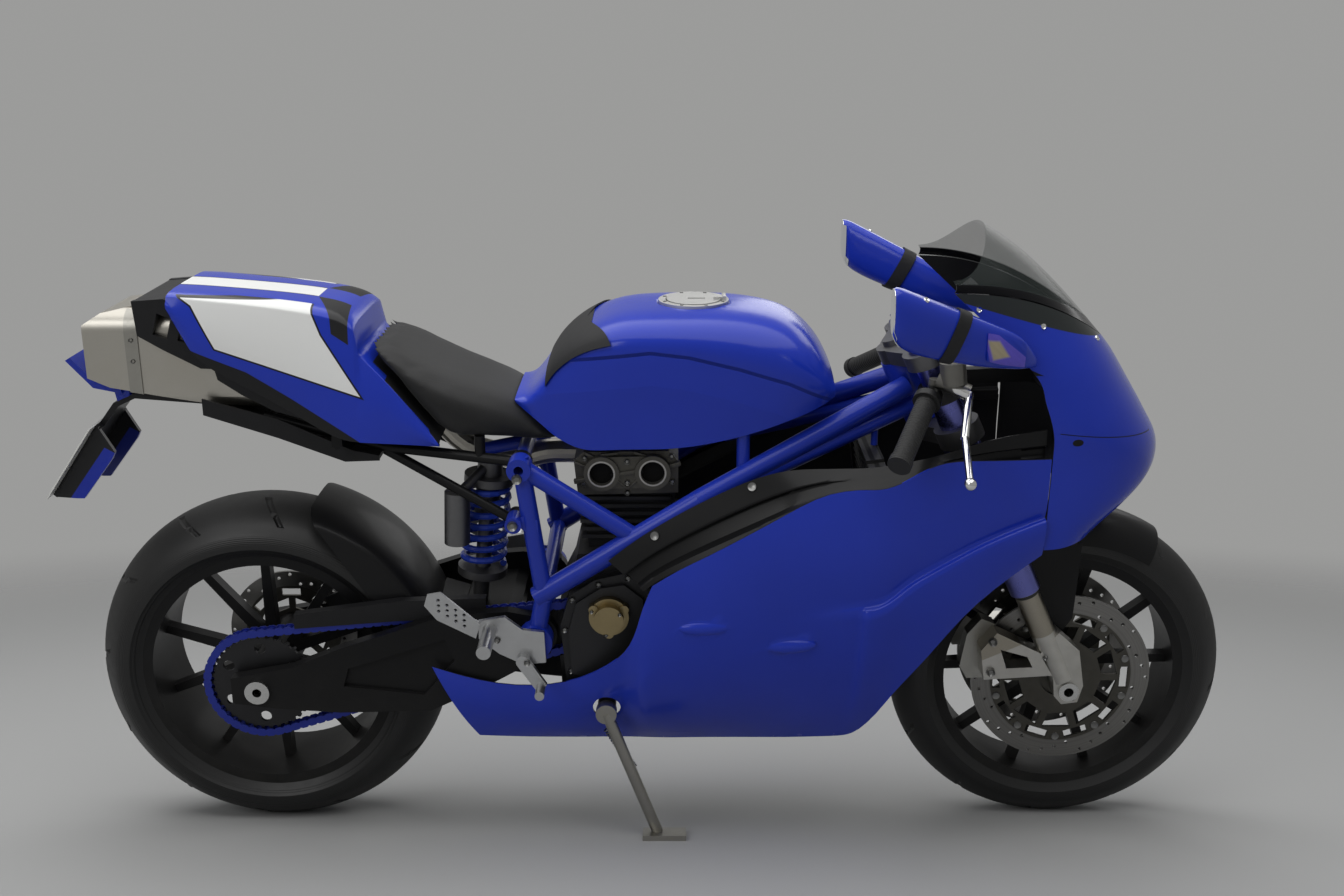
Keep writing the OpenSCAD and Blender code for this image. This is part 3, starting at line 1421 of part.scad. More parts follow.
module front_mudguard() {
  gap = 9;
  c = front_crown_r + gap;
  ring_r = front_tyre_r - front_crown_r;
  plate_y = -fork_half + fork_outer_r + seat_gap;
  color(black) at_front() {
    rotate([90, 0, 0]) rotate_extrude(angle = 84, start = 58, $fn = 160) intersection() {
      translate([ring_r, 0]) difference() {
        circle(c + 3, $fn = 120);
        circle(c, $fn = 120);
      }
      translate([ring_r + 20, -c - 10]) square([c, 2 * c + 20]);
    }
    both_sides() side_plate(plate_y, -c + 1) scale(front_tyre_r / drawn_front_r)
      polygon([[-84, 232], [-40, 250], [16, 240], [10, 120], [-20, 74], [-46, 84], [-92, 176]]);
    both_sides() side_plate(plate_y, -c + 4) scale(front_tyre_r / drawn_front_r)
      polygon([[-130, 246], [-118, 272], [-44, 268], [16, 262], [12, 200], [-84, 200]]);
  }
}

// Stand

stand_pivot = [608, -172, 289];
stand_lug_y = 164;
stand_foot_x = 704;
stand_foot_y = -196;
stand_leg_r = 10;
// A floor point brought into the bike frame.
function floor_point(x, y, h) =
  let (z = h - ground_lift)
  [x, y * cos(lean) + z * sin(lean), -y * sin(lean) + z * cos(lean)];
module side_stand() {
  ankle = floor_point(stand_foot_x - 8, stand_foot_y + 6, 8);
  color(steel) {
    cross_bar(stand_pivot[0], stand_pivot[2], stand_pivot[1] - 12, -stand_lug_y - seat_gap, 18);
    rod(stand_pivot + [0, -4, 0], ankle, stand_leg_r);
    rotate([-lean, 0, 0]) translate([stand_foot_x - 34, stand_foot_y - 24, -ground_lift]) cube([76, 48, 9]);
  }
}

leaned() frame();
leaned() subframe();
leaned() engine();
leaned() engine_cover();
leaned() slave_cylinder();
leaned() radiator();
leaned() exhaust_pipe();
leaned() silencer();
leaned() silencer_shield();
leaned() fuel_tank();
leaned() tank_pad();
leaned() filler_neck();
leaned() seat();
leaned() tail_cowl();
leaned() undertail();
leaned() tail_lamp();
leaned() plate_hanger();
leaned() number_plate();
leaned() swingarm();
leaned() rear_axle();
leaned() rear_caliper();
leaned() hugger();
leaned() chain_guard();
leaned() chain();
leaned() shock();
leaned() spring();
leaned() rearset_right();
leaned() rearset_left();
leaned() fairing_right();
leaned() fairing_left();
leaned() inner_panel_right();
leaned() inner_panel_left();
leaned() nose_cowl();
leaned() headlamp();
leaned() fairing_stay();
leaned() windscreen();
leaned() mirror_right();
leaned() mirror_left();
leaned() indicators();
leaned() dash();
leaned() yokes();
leaned() fork_legs();
leaned() front_calipers();
leaned() front_axle();
leaned() clip_ons();
leaned() levers();
leaned() front_mudguard();
leaned() front_tyre();
leaned() front_rim();
leaned() front_discs();
leaned() rear_tyre();
leaned() rear_rim();
leaned() sprocket();
leaned() rear_disc();
leaned() side_stand();
leaned() fuel_cap();
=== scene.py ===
import json
import math
import bpy
import bmesh
from mathutils import Matrix, Vector
from mathutils.bvhtree import BVHTree


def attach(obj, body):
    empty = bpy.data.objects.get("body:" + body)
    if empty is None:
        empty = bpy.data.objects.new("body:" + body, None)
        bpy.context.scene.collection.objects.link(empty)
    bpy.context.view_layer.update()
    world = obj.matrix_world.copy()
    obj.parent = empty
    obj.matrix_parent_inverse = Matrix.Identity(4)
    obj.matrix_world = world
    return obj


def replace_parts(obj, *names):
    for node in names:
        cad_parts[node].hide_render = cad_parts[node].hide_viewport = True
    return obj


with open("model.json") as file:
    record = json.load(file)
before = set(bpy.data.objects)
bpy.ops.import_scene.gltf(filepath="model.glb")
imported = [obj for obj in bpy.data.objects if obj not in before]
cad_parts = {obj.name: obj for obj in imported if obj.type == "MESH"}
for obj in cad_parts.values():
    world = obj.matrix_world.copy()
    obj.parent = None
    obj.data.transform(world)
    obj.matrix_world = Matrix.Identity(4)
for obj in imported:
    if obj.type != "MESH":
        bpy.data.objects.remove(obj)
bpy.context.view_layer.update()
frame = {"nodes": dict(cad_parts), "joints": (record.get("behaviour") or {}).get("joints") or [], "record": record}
cadNodes = frame["nodes"]
joints = {j["name"]: j for j in frame["joints"]}
record = frame["record"]
nodeBody = {n: body for body, names in record["behaviour"]["bodies"].items() for n in names}
print("frame loaded,", len(cadNodes), "nodes")

# the bike's own frame in mm: x forward from the rear axle, y left, z up when it stands upright
rearAxleHeight = 313
rearHub = joints["rear_wheel_spin"]
leanAngle = math.atan2(rearHub["axis"][2], rearHub["axis"][1])
leanTurn = Matrix.Rotation(leanAngle, 4, "X")
bikeShift = Vector(rearHub["pos_m"]) - leanTurn @ Vector((0, 0, rearAxleHeight / 1000))
bikeToRow = Matrix.Translation(bikeShift) @ leanTurn @ Matrix.Scale(0.001, 4)
rowToBike = bikeToRow.inverted()
frontHub = rowToBike @ Vector(joints["front_wheel_spin"]["pos_m"])
steerAxis = (rowToBike.to_3x3() @ Vector(joints["steering"]["axis"])).normalized()
rakeAngle = math.atan2(-steerAxis.x, steerAxis.z)


class Wire:
    def __init__(self, paint, socket):
        self.paint, self.socket = paint, socket

    def math(self, operation, a, b=0.0):
        return self.paint.add("ShaderNodeMath", {"operation": operation}, {0: a, 1: b})

    def __add__(self, other): return self.math("ADD", self, other)
    def __radd__(self, other): return self.math("ADD", other, self)
    def __sub__(self, other): return self.math("SUBTRACT", self, other)
    def __rsub__(self, other): return self.math("SUBTRACT", other, self)
    def __mul__(self, other): return self.math("MULTIPLY", self, other)
    def __rmul__(self, other): return self.math("MULTIPLY", other, self)
    def __truediv__(self, other): return self.math("DIVIDE", self, other)
    def __rtruediv__(self, other): return self.math("DIVIDE", other, self)
    def __abs__(self): return self.math("ABSOLUTE", self)
    def __pow__(self, other): return self.math("POWER", self, other)
    def clamp(self): return self.paint.add("ShaderNodeClamp", {}, {"Value": self})


class Paint:
    def __init__(self, name, **fixed):
        self.mat = bpy.data.materials.new(name)
        self.mat.use_nodes = True
        self.tree = self.mat.node_tree
        self.shader = self.tree.nodes["Principled BSDF"]
        for key, value in fixed.items():
            self.put(key.replace("_", " "), value)

    # any node: its type, its settings, the values or links of its sockets
    def add(self, kind, settings=None, sockets=None, out=0):
        node = self.tree.nodes.new(kind)
        for key, value in (settings or {}).items():
            setattr(node, key, value)
        for key, value in (sockets or {}).items():
            self.join(node.inputs[key], value)
        return Wire(self, node.outputs[out])

    def join(self, socket, value):
        if isinstance(value, Wire):
            self.tree.links.new(value.socket, socket)
        elif hasattr(socket.default_value, "__len__") and not hasattr(value, "__len__"):
            socket.default_value = (value, value, value, 1)[:len(socket.default_value)]
        elif hasattr(value, "__len__") and len(value) == 3 and len(socket.default_value) == 4:
            socket.default_value = (*value, 1)
        else:
            socket.default_value = value

    def put(self, name, value):
        self.join(self.shader.inputs[name], value)

    # metres from a point of the bike, along its own axes or along the fork
    def place(self, origin=(0, 0, 0), tilt=0.0, stretch=(1, 1, 1)):
        turn = (leanTurn @ Matrix.Rotation(tilt, 4, "Y")).to_euler()
        coord = self.add("ShaderNodeTexCoord", out="Object")
        return self.add("ShaderNodeMapping", {"vector_type": "TEXTURE"}, {
            "Vector": coord, "Location": bikeToRow @ Vector(origin), "Rotation": turn, "Scale": stretch})

    def split(self, vector):
        return [self.add("ShaderNodeSeparateXYZ", {}, {0: vector}, out=k) for k in range(3)]

    def noise(self, vector, scale, detail=3.0, rough=0.5):
        return self.add("ShaderNodeTexNoise", {}, {
            "Vector": vector, "Scale": scale, "Detail": detail, "Roughness": rough})

    def blend(self, share, a, b):
        return self.add("ShaderNodeMix", {"data_type": "RGBA"}, {0: share, 6: a, 7: b}, out=2)

    def wave(self, kind, angle):
        return self.add("ShaderNodeMath", {"operation": kind}, {0: angle})

    def bump(self, height, strength, depth=0.001):
        self.put("Normal", self.add("ShaderNodeBump", {}, {"Height": height, "Strength": strength, "Distance": depth}))


# masks: past an edge, short of it, and between two edges
def past(value, edge, soft=0.001):
    return ((value - edge) / soft).clamp()


def short(value, edge, soft=0.001):
    return ((edge - value) / soft).clamp()


def band(value, low, high, soft=0.001):
    return past(value, low, soft) * short(value, high, soft)


def tinted(shade, factor, lift=0.0):
    return tuple(min(1.0, c * factor + lift) for c in shade)


# how far a point lies to the left of the line from a to b
def edgeSide(u, v, a, b):
    run = math.dist(a, b)
    across, up = (a[1] - b[1]) / run, (b[0] - a[0]) / run
    return u * across + v * up - (across * a[0] + up * a[1])


# how deep a point lies inside an outline: each group must hold, any one line of a group will do
def inside(u, v, groups):
    depth = None
    for group in groups:
        side = None
        for a, b in group:
            line = edgeSide(u, v, a, b)
            side = line if side is None else side.math("MAXIMUM", side, line)
        depth = side if depth is None else depth.math("MINIMUM", depth, side)
    return depth


def outline(points):
    return [[(a, b)] for a, b in zip(points, points[1:] + points[:1])]


blueShade = (0.012, 0.036, 0.43)
lacquerLook = {"coatRough": 0.16, "specular": 0.15, "dustTop": 0.42, "dustFade": 0.34, "dustTint": (0.22, 0.21, 0.19),
               "dustShare": 0.16, "peelSize": 420.0, "reliefDepth": 0.008, "peelDepth": 0.0006}


# lacquer over colour, with a faint orange peel, road dust low down and painted marks
def lacquer(name, shade, rough, dust=0.5, peel=0.03, marks=None, relief=None, shine=0.3):
    look = lacquerLook
    p = Paint(name, Coat_Weight=shine, Coat_Roughness=look["coatRough"], Specular_IOR_Level=look["specular"])
    at = p.place()
    z = p.split(at)[2]
    cloud = p.noise(at, 5.0, 4.0)
    low = short(z, look["dustTop"], look["dustFade"]) * p.noise(at, 26.0, 6.0, 0.7) * dust
    tone = p.blend(cloud, tinted(shade, 0.86), tinted(shade, 1.16, 0.002))
    dull = 0.06 * p.noise(at, 60.0, 3.0) + 0.3 * low
    for share, paint, flat in (marks(p, at) if marks else ()):
        tone = p.blend(share, tone, paint)
        dull = dull + share * flat
    p.put("Base Color", p.blend(low * look["dustShare"], tone, look["dustTint"]))
    p.put("Roughness", rough + dull)
    skinNoise = p.noise(at, look["peelSize"], 1.0)
    if relief:
        p.bump(relief(p, at) + peel * 0.5 * skinNoise, 1.0, look["reliefDepth"])
    else:
        p.bump(skinNoise, peel, look["peelDepth"])
    return p


tankCrease = {"line": [(0.560, 0.905), (0.624, 0.914), (0.686, 0.922), (0.750, 0.915), (0.831, 0.896), (0.913, 0.870),
                       (0.985, 0.834)], "step": 0.006, "slope": -18.0}


# the dome of the tank stands a little proud of its flanks
def reliefTank(p, at):
    x, _, z = p.split(at)
    line, step = tankCrease["line"], tankCrease["step"]
    over = inside(x, z, [list(zip(line, line[1:]))])
    dome = past(over, -step / 2, step)
    return dome + (1.0 - dome) * (over * tankCrease["slope"]).clamp()


# metres along the bike and up, or for the pad along and across
tailMarks = {
    "panel": [(-0.080, 1.005), (-0.062, 0.992), (-0.027, 0.921), (0.210, 0.843), (0.147, 0.944), (0.127, 0.994)],
    "skirt": [(0.24, 0.745), (0.168, 0.792), (0.095, 0.839), (0.022, 0.883), (-0.06, 0.914)],
    "pad": [(0.128, 0.034), (0.183, 0.034), (0.194, 0.13), (0.170, 0.13)],
    "padFoot": [(0.157, 0.951), (0.190, 0.929)], "strip": 0.031, "stripEnd": 0.128, "topFrom": 0.93, "flankFrom": 0.08,
    "border": 0.003, "soft": 0.0006, "softWide": 0.0008,
    "white": (0.82, 0.82, 0.8), "ink": (0.006, 0.006, 0.007), "padTint": (0.011, 0.011, 0.012),
}


def markTail(p, at):
    x, y, z = p.split(at)
    side = abs(y)
    m = tailMarks
    a, b, c, d, e, f = m["panel"]
    depth = inside(x, z, [[(c, d)], [(f, a)], [(d, e), (e, f)], [(a, b), (b, c)]])
    flank = past(side, m["flankFrom"])
    skirt = inside(x, z, [[pair] for pair in zip(m["skirt"], m["skirt"][1:])])
    pad = inside(x, side, outline(m["pad"]))
    padDepth = pad.math("MINIMUM", pad, edgeSide(x, z, *m["padFoot"]))
    top = past(z, m["topFrom"], 0.002) * short(x, m["stripEnd"])
    return [
        (flank * past(depth, -m["border"], m["soft"]), m["ink"], 0.1),
        (flank * past(depth, 0.0, m["soft"]), m["white"], 0.02),
        (top * short(side, m["strip"] + m["border"], m["soft"]), m["ink"], 0.1),
        (top * short(side, m["strip"], m["soft"]), m["white"], 0.02),
        (past(skirt, 0.0, m["softWide"]), m["ink"], 0.3),
        (past(padDepth, 0.0, m["softWide"]), m["padTint"], 0.4),
    ]


# the seam above the wheel arch, painted shade standing in for the hole and notch in the sides, and the smoked strip
# under the screen
noseMarks = {
    "seam": [(1.346, 0.799), (1.52, 0.776)], "seamReach": (1.346, 1.524), "seamHalf": 0.0011,
    "seamTint": (0.002, 0.004, 0.03),
    "hole": (1.377, 0.783), "holeSize": (0.0095, 0.006), "holeFrom": 0.1, "holeShade": (0.002, 0.002, 0.002),
    "notch": [(1.284, 0.908), (1.294, 0.893), (1.318, 0.893)], "notchFrom": 0.12,
    "smoke": ((1.200, 1.004), (1.417, 0.939)), "smokeTint": (0.022, 0.026, 0.026),
}


def markNose(p, at):
    x, y, z = p.split(at)
    side = abs(y)
    m = noseMarks
    u = (x - m["hole"][0]) / m["holeSize"][0]
    v = (z - m["hole"][1]) / m["holeSize"][1]
    hole = short(u * u + v * v, 1.0, 0.1) * past(side, m["holeFrom"])
    seam = short(abs(edgeSide(x, z, *m["seam"])), m["seamHalf"], 0.0005) * band(x, *m["seamReach"])
    notch = past(inside(x, z, outline(m["notch"])), 0.0) * past(side, m["notchFrom"])
    smoke = past(edgeSide(x, z, *m["smoke"]), 0.0)
    # painted shade: the hole and notch are filled with near-black as the shade inside the openings
    return [(smoke, m["smokeTint"], -0.08), (seam, m["seamTint"], 0.3),
            (hole.math("MAXIMUM", hole, notch), m["holeShade"], 0.5)]


# moulded plastic with a fine grain, scuffed a little paler in patches
def moulded(name, shade, rough, grain=0.25, size=900.0):
    p = Paint(name, Specular_IOR_Level=0.25)
    at = p.place()
    wear = p.noise(at, 34.0, 5.0, 0.6)
    p.put("Base Color", p.blend((wear - 0.35).clamp() * 0.6, shade, tinted(shade, 1.7, 0.004)))
    p.put("Roughness", rough + 0.14 * (wear - 0.5))
    p.bump(p.noise(at, size, 2.0), grain, 0.0004)
    return p


# cast or plated metal: tint, roughness, size and depth of its skin, and zones of another tint
def castMetal(name, shade, rough, size=220.0, depth=0.2, metal=1.0, stain=0.35, zones=None):
    p = Paint(name)
    at = p.place()
    patch = p.noise(at, 17.0, 5.0, 0.62)
    fine = p.noise(at, size, 3.0)
    tone = p.blend((patch - 0.4).clamp() * stain * 2.0, shade, tinted(shade, 0.5))
    dull = rough + 0.16 * (fine - 0.5) + 0.2 * (patch - 0.5)
    for share, paint, flat in (zones(p, at) if zones else ()):
        tone = p.blend(share, tone, p.blend(fine, tinted(paint, 0.8), paint))
        dull = dull + share * flat
    p.put("Base Color", tone)
    p.put("Metallic", metal - 0.25 * (patch - 0.5))
    p.put("Roughness", dull)
    p.bump(fine, depth, 0.0005)
    return p


# brushed metal, its lines drawn out along one axis of the bike
def brushed(name, shade, rough, along=(0.02, 1, 1), heat=None):
    p = Paint(name, Metallic=1.0)
    at = p.place()
    line = p.noise(p.place(stretch=along), 520.0, 3.0, 0.6)
    patch = p.noise(at, 9.0, 4.0)
    tone = p.blend(line, tinted(shade, 0.82), tinted(shade, 1.12))
    tone = p.blend((patch - 0.45).clamp() * 0.8, tone, heat or tinted(shade, 0.7))
    p.put("Base Color", tone)
    p.put("Roughness", rough + 0.18 * (line - 0.5) + 0.1 * (patch - 0.5))
    p.bump(line, 0.12, 0.0003)
    return p


discLook = {"soft": 0.0008, "bandTints": ((0.14, 0.137, 0.13), (0.26, 0.255, 0.245)),
            "carrierTints": ((0.06, 0.057, 0.05), (0.11, 0.106, 0.094))}


# a brake disc, turned bright on its band and dark on its carrier
def discMetal(name, hub, bandIn):
    p = Paint(name, Metallic=1.0)
    at = p.place(hub)
    x, y, z = p.split(at)
    r = (x * x + z * z) ** 0.5
    rim = past(r, bandIn, discLook["soft"])
    groove = p.noise(p.add("ShaderNodeCombineXYZ", {}, {0: r * 900.0, 1: y * 40.0}), 1.0, 2.0)
    patch = p.noise(at, 30.0, 4.0)
    bright = p.blend(groove, *discLook["bandTints"])
    dark = p.blend(patch, *discLook["carrierTints"])
    p.put("Base Color", p.blend(rim, dark, bright))
    p.put("Roughness", 0.5 - 0.18 * rim + 0.14 * (groove - 0.5))
    p.bump(groove * rim + patch * (1.0 - rim), 0.15, 0.0003)
    return p


# metres up the leg from the axle, and the tints of each stretch
forkBands = {"slider": 0.118, "seal": (0.197, 0.2062), "tube": 0.206, "cap": 0.688, "soft": 0.0006,
             "footTints": ((0.40, 0.39, 0.36), (0.56, 0.55, 0.52)),
             "sliderTints": ((0.24, 0.22, 0.18), (0.42, 0.39, 0.33)),
             "tubeTints": ((0.10, 0.11, 0.36), (0.20, 0.21, 0.55)),
             "sealTint": (0.008, 0.008, 0.008), "capTint": (0.4, 0.4, 0.39)}


# the fork along its length: cast foot, drawn slider, dark seal, anodised tube, silver cap
def forkMetal(name):
    p = Paint(name)
    m = forkBands
    at = p.place(frontHub, -rakeAngle)
    s = p.split(at)[2]
    line = p.noise(p.place(frontHub, -rakeAngle, (1, 1, 0.02)), 480.0, 3.0)
    patch = p.noise(at, 40.0, 4.0)
    tube = past(s, m["tube"], m["soft"])
    seal = band(s, *m["seal"], m["soft"])
    tone = p.blend(past(s, m["slider"]), p.blend(patch, *m["footTints"]), p.blend(line, *m["sliderTints"]))
    tone = p.blend(tube, tone, p.blend(line, *m["tubeTints"]))
    tone = p.blend(seal, tone, m["sealTint"])
    p.put("Base Color", p.blend(past(s, m["cap"]), tone, m["capTint"]))
    p.put("Metallic", 1.0 - seal)
    p.put("Roughness", 0.34 + 0.16 * (patch - 0.5) - 0.06 * tube)
    p.bump(patch, 0.1, 0.0004)
    return p


# metres in from the tread
sidewall = {"tread": 0.03, "treadFade": 0.02, "rings": (0.062, 0.046), "ringPitch": 2100.0, "lip": (0.078, 0.0745),
            "tints": ((0.0035, 0.0035, 0.0037), (0.016, 0.0155, 0.0145))}


# rubber: a smooth flank with moulded rings, duller and dustier on the tread
def tyreRubber(name, hub, r):
    p = Paint(name)
    at = p.place(hub)
    x, _, z = p.split(at)
    out = (x * x + z * z) ** 0.5
    tread = past(out, r - sidewall["tread"], sidewall["treadFade"])
    ringLow, ringHigh = sidewall["rings"]
    lipLow, lipHigh = sidewall["lip"]
    ring = p.wave("SINE", out * sidewall["ringPitch"]) * band(out, r - ringLow, r - ringHigh, 0.002)
    lip = band(out, r - lipLow, r - lipHigh, 0.0006)
    dust = p.noise(at, 55.0, 6.0, 0.7)
    p.put("Base Color", p.blend(dust * tread * 0.5, *sidewall["tints"]))
    p.put("Roughness", 0.46 + 0.2 * tread + 0.2 * (dust - 0.5))
    p.bump(ring * 0.4 + lip + 0.25 * p.noise(at, 700.0, 2.0), 0.5, 0.0008)
    return p


gripLine = {"from": (1.133, 0.17, 0.847), "way": (-56, 110, -63), "flange": 0.002, "ribPitch": 1050.0,
            "barTint": (0.02, 0.02, 0.021), "rubberTints": ((0.006, 0.006, 0.006), (0.014, 0.014, 0.014))}


# the handlebar: alloy clamp and bar, ribbed rubber from the flange outwards
def gripRubber(name):
    p = Paint(name)
    at = p.place()
    x, y, z = p.split(at)
    start, away = gripLine["from"], Vector(gripLine["way"]).normalized()
    along = (x - start[0]) * away.x + (abs(y) - start[1]) * away.y + (z - start[2]) * away.z
    grip = past(along, gripLine["flange"])
    rib = p.wave("SINE", along * gripLine["ribPitch"])
    fine = p.noise(at, 600.0, 3.0)
    p.put("Base Color", p.blend(grip, gripLine["barTint"], p.blend(fine, *gripLine["rubberTints"])))
    p.put("Metallic", 0.7 - 0.7 * grip)
    p.put("Roughness", 0.38 + 0.3 * grip + 0.1 * (fine - 0.5))
    p.bump(rib * grip * 0.8 + fine * 0.2, 0.6, 0.0008)
    return p


# a clear cover over something: tint, how clear, ribs along the axes
def lens(name, tint, clear, ribs, rough=0.05, marks=None):
    p = Paint(name, Coat_Weight=0.6 * clear, Coat_Roughness=0.03, Transmission_Weight=clear, IOR=1.45,
              Specular_IOR_Level=0.3)
    at = p.place()
    x, y, z = p.split(at)
    fleck = p.noise(at, 240.0, 2.0)
    tone = p.blend(fleck, tinted(tint, 0.85), tint)
    for share, paint in (marks(x, z) if marks else ()):
        tone = p.blend(share, tone, paint)
    p.put("Base Color", tone)
    p.put("Roughness", rough + 0.06 * fleck)
    p.bump(p.wave("SINE", x * ribs[0] + y * ribs[1] + z * ribs[2]), 0.25, 0.0006)
    return p


lensMarks = {"edge": [(1.198, 0.977), (1.211, 0.934), (1.297, 0.912), (1.282, 0.927), (1.210, 0.987)],
             "heart": [(1.2006, 0.9738), (1.214, 0.936), (1.248, 0.938), (1.2256, 0.969)],
             "heartTint": (0.42, 0.36, 0.24)}


# amber in the middle of the indicator, body colour outside its edge
def markLens(x, z):
    return [(past(inside(x, z, outline(lensMarks["heart"])), 0.0, 0.004), lensMarks["heartTint"]),
            (short(inside(x, z, outline(lensMarks["edge"])), 0.0), blueShade)]


screenEdge = {"from": 1.168, "run": 0.284, "bend": 1.11, "foot": 0.9175, "rise": 0.108,
              "border": 0.012, "borderFade": 0.002,
              "sheetTints": ((0.035, 0.045, 0.042), (0.055, 0.066, 0.062)), "borderTint": (0.006, 0.006, 0.007)}


# smoked sheet, its painted border following the lower edge
def screenGlass(name):
    p = Paint(name, IOR=1.3, Specular_IOR_Level=0.2)
    m = screenEdge
    at = p.place()
    x, _, z = p.split(at)
    c = past(x, m["from"], m["run"]) ** m["bend"]
    foot = m["foot"] + m["rise"] * (1.0 - c * c)
    rim = 1.0 - past(z - foot, m["border"], m["borderFade"])
    wear = p.noise(at, 90.0, 5.0, 0.65)
    p.put("Base Color", p.blend(rim, p.blend(wear, *m["sheetTints"]), m["borderTint"]))
    p.put("Roughness", 0.16 + 0.08 * wear)
    p.put("Alpha", 0.22 + 0.04 * wear + 0.74 * rim)
    return p


# close-woven vinyl, its tone and roughness varying in patches
def seatVinyl(name):
    p = Paint(name, Sheen_Weight=0.04, Sheen_Roughness=0.5, Specular_IOR_Level=0.25)
    at = p.place()
    grain = p.add("ShaderNodeTexVoronoi", {"feature": "F1"}, {"Vector": at, "Scale": 620.0})
    wear = p.noise(at, 12.0, 5.0, 0.6)
    p.put("Base Color", p.blend(wear, (0.011, 0.011, 0.0115), (0.024, 0.024, 0.024)))
    p.put("Roughness", 0.56 + 0.18 * (wear - 0.5))
    p.bump(grain + 0.4 * wear, 0.35, 0.0006)
    return p


plateLook = {"borderFrom": 0.078, "clean": (0.78, 0.78, 0.75), "soiled": (0.52, 0.5, 0.46)}


# pressed white plate with a raised border, left blank
def blankPlate(name):
    p = Paint(name, Coat_Weight=0.3, Coat_Roughness=0.15)
    at = p.place()
    border = past(abs(p.split(at)[1]), plateLook["borderFrom"])
    soil = p.noise(at, 40.0, 5.0, 0.7)
    p.put("Base Color", p.blend(soil * 0.4, plateLook["clean"], plateLook["soiled"]))
    p.put("Roughness", 0.3 + 0.2 * soil)
    p.bump(border + 0.2 * p.noise(at, 300.0, 1.0), 0.5, 0.001)
    return p


headFace = {"y": -0.0995, "above": 0.66, "ports": ((0.603, 0.706), (0.689, 0.708)), "ring": (0.0198, 0.0235),
            "bore": 0.0202, "boreAbove": 0.67, "tint": (0.085, 0.081, 0.07), "ringTint": (0.42, 0.41, 0.39),
            "boreShade": (0.003, 0.003, 0.003)}


# the outer face of the rear cylinder head, with two bright rings round bores painted near-black as painted shade
def zoneEngine(p, at):
    x, y, z = p.split(at)
    m = headFace
    head = short(y, m["y"], 0.0006) * past(z, m["above"])
    far = None
    for port in m["ports"]:
        away = ((x - port[0]) ** 2.0 + (z - port[1]) ** 2.0) ** 0.5
        far = away if far is None else far.math("MINIMUM", far, away)
    # painted shade: the bores are filled with near-black where the openings lie in shadow
    bore = short(far, m["bore"], 0.0005) * past(z, m["boreAbove"])
    return [(head, m["tint"], 0.0), (head * band(far, *m["ring"]), m["ringTint"], -0.1),
            (head * bore, m["boreShade"], 0.2)]


finPitch = 2400.0


# painted shade: dark bands at the fin pitch stand in for the shade in the gaps between the fins
def zoneRadiator(p, at):
    fin = p.wave("SINE", p.split(at)[2] * finPitch)
    return [((fin * 2.0).clamp(), (0.012, 0.012, 0.012), 0.1)]


leverParts = {"potAbove": 0.8705, "potTint": (0.2, 0.195, 0.18), "boxBehind": 1.196, "boxInside": 0.178,
              "boxTint": (0.12, 0.12, 0.115)}


# the reservoir and the clamp block are duller than the lever
def zoneLever(p, at):
    x, y, z = p.split(at)
    pot = past(z, leverParts["potAbove"], 0.0008)
    box = short(x, leverParts["boxBehind"]) * short(abs(y), leverParts["boxInside"])
    return [(box, leverParts["boxTint"], 0.3), (pot, leverParts["potTint"], 0.22)]


hangerMarks = {"a": (-0.251, 0.733), "b": (-0.229, 0.720), "c": (-0.305, 0.661), "plates": 0.0538,
               "tint": (0.012, 0.03, 0.36)}


# the side reflectors of the plate bracket
def markHanger(p, at):
    x, y, z = p.split(at)
    m = hangerMarks
    low = past(edgeSide(x, z, m["b"], m["a"]), 0.0, 0.0006)
    fore = past(edgeSide(x, z, m["a"], m["c"]), 0.0, 0.0006)
    return [(past(abs(y), m["plates"], 0.0004) * low * fore, m["tint"], -0.15)]


dial = {"at": (1262, 0, 962), "tilt": -math.radians(38), "r": 0.0345, "ticks": 36.0, "tickRing": (0.027, 0.032),
        "pane": (0.042, 0.068), "paneHalf": 0.026, "faceTint": (0.012, 0.012, 0.013), "tickTint": (0.8, 0.8, 0.78),
        "paneTint": (0.10, 0.12, 0.09)}


# a round dial with plain ticks between two panes
def zoneDash(p, at):
    _, y, z = p.split(p.place(dial["at"], dial["tilt"]))
    r = (y * y + z * z) ** 0.5
    turn = p.add("ShaderNodeMath", {"operation": "ARCTAN2"}, {0: y, 1: z})
    tick = (p.wave("COSINE", turn * dial["ticks"]) * 6.0 - 4.5).clamp()
    face = short(r, dial["r"], 0.0005)
    pane = band(abs(y), *dial["pane"]) * short(abs(z), dial["paneHalf"])
    return [(face, dial["faceTint"], -0.2), (face * tick * band(r, *dial["tickRing"]), dial["tickTint"], 0.0),
            (pane, dial["paneTint"], -0.3)]


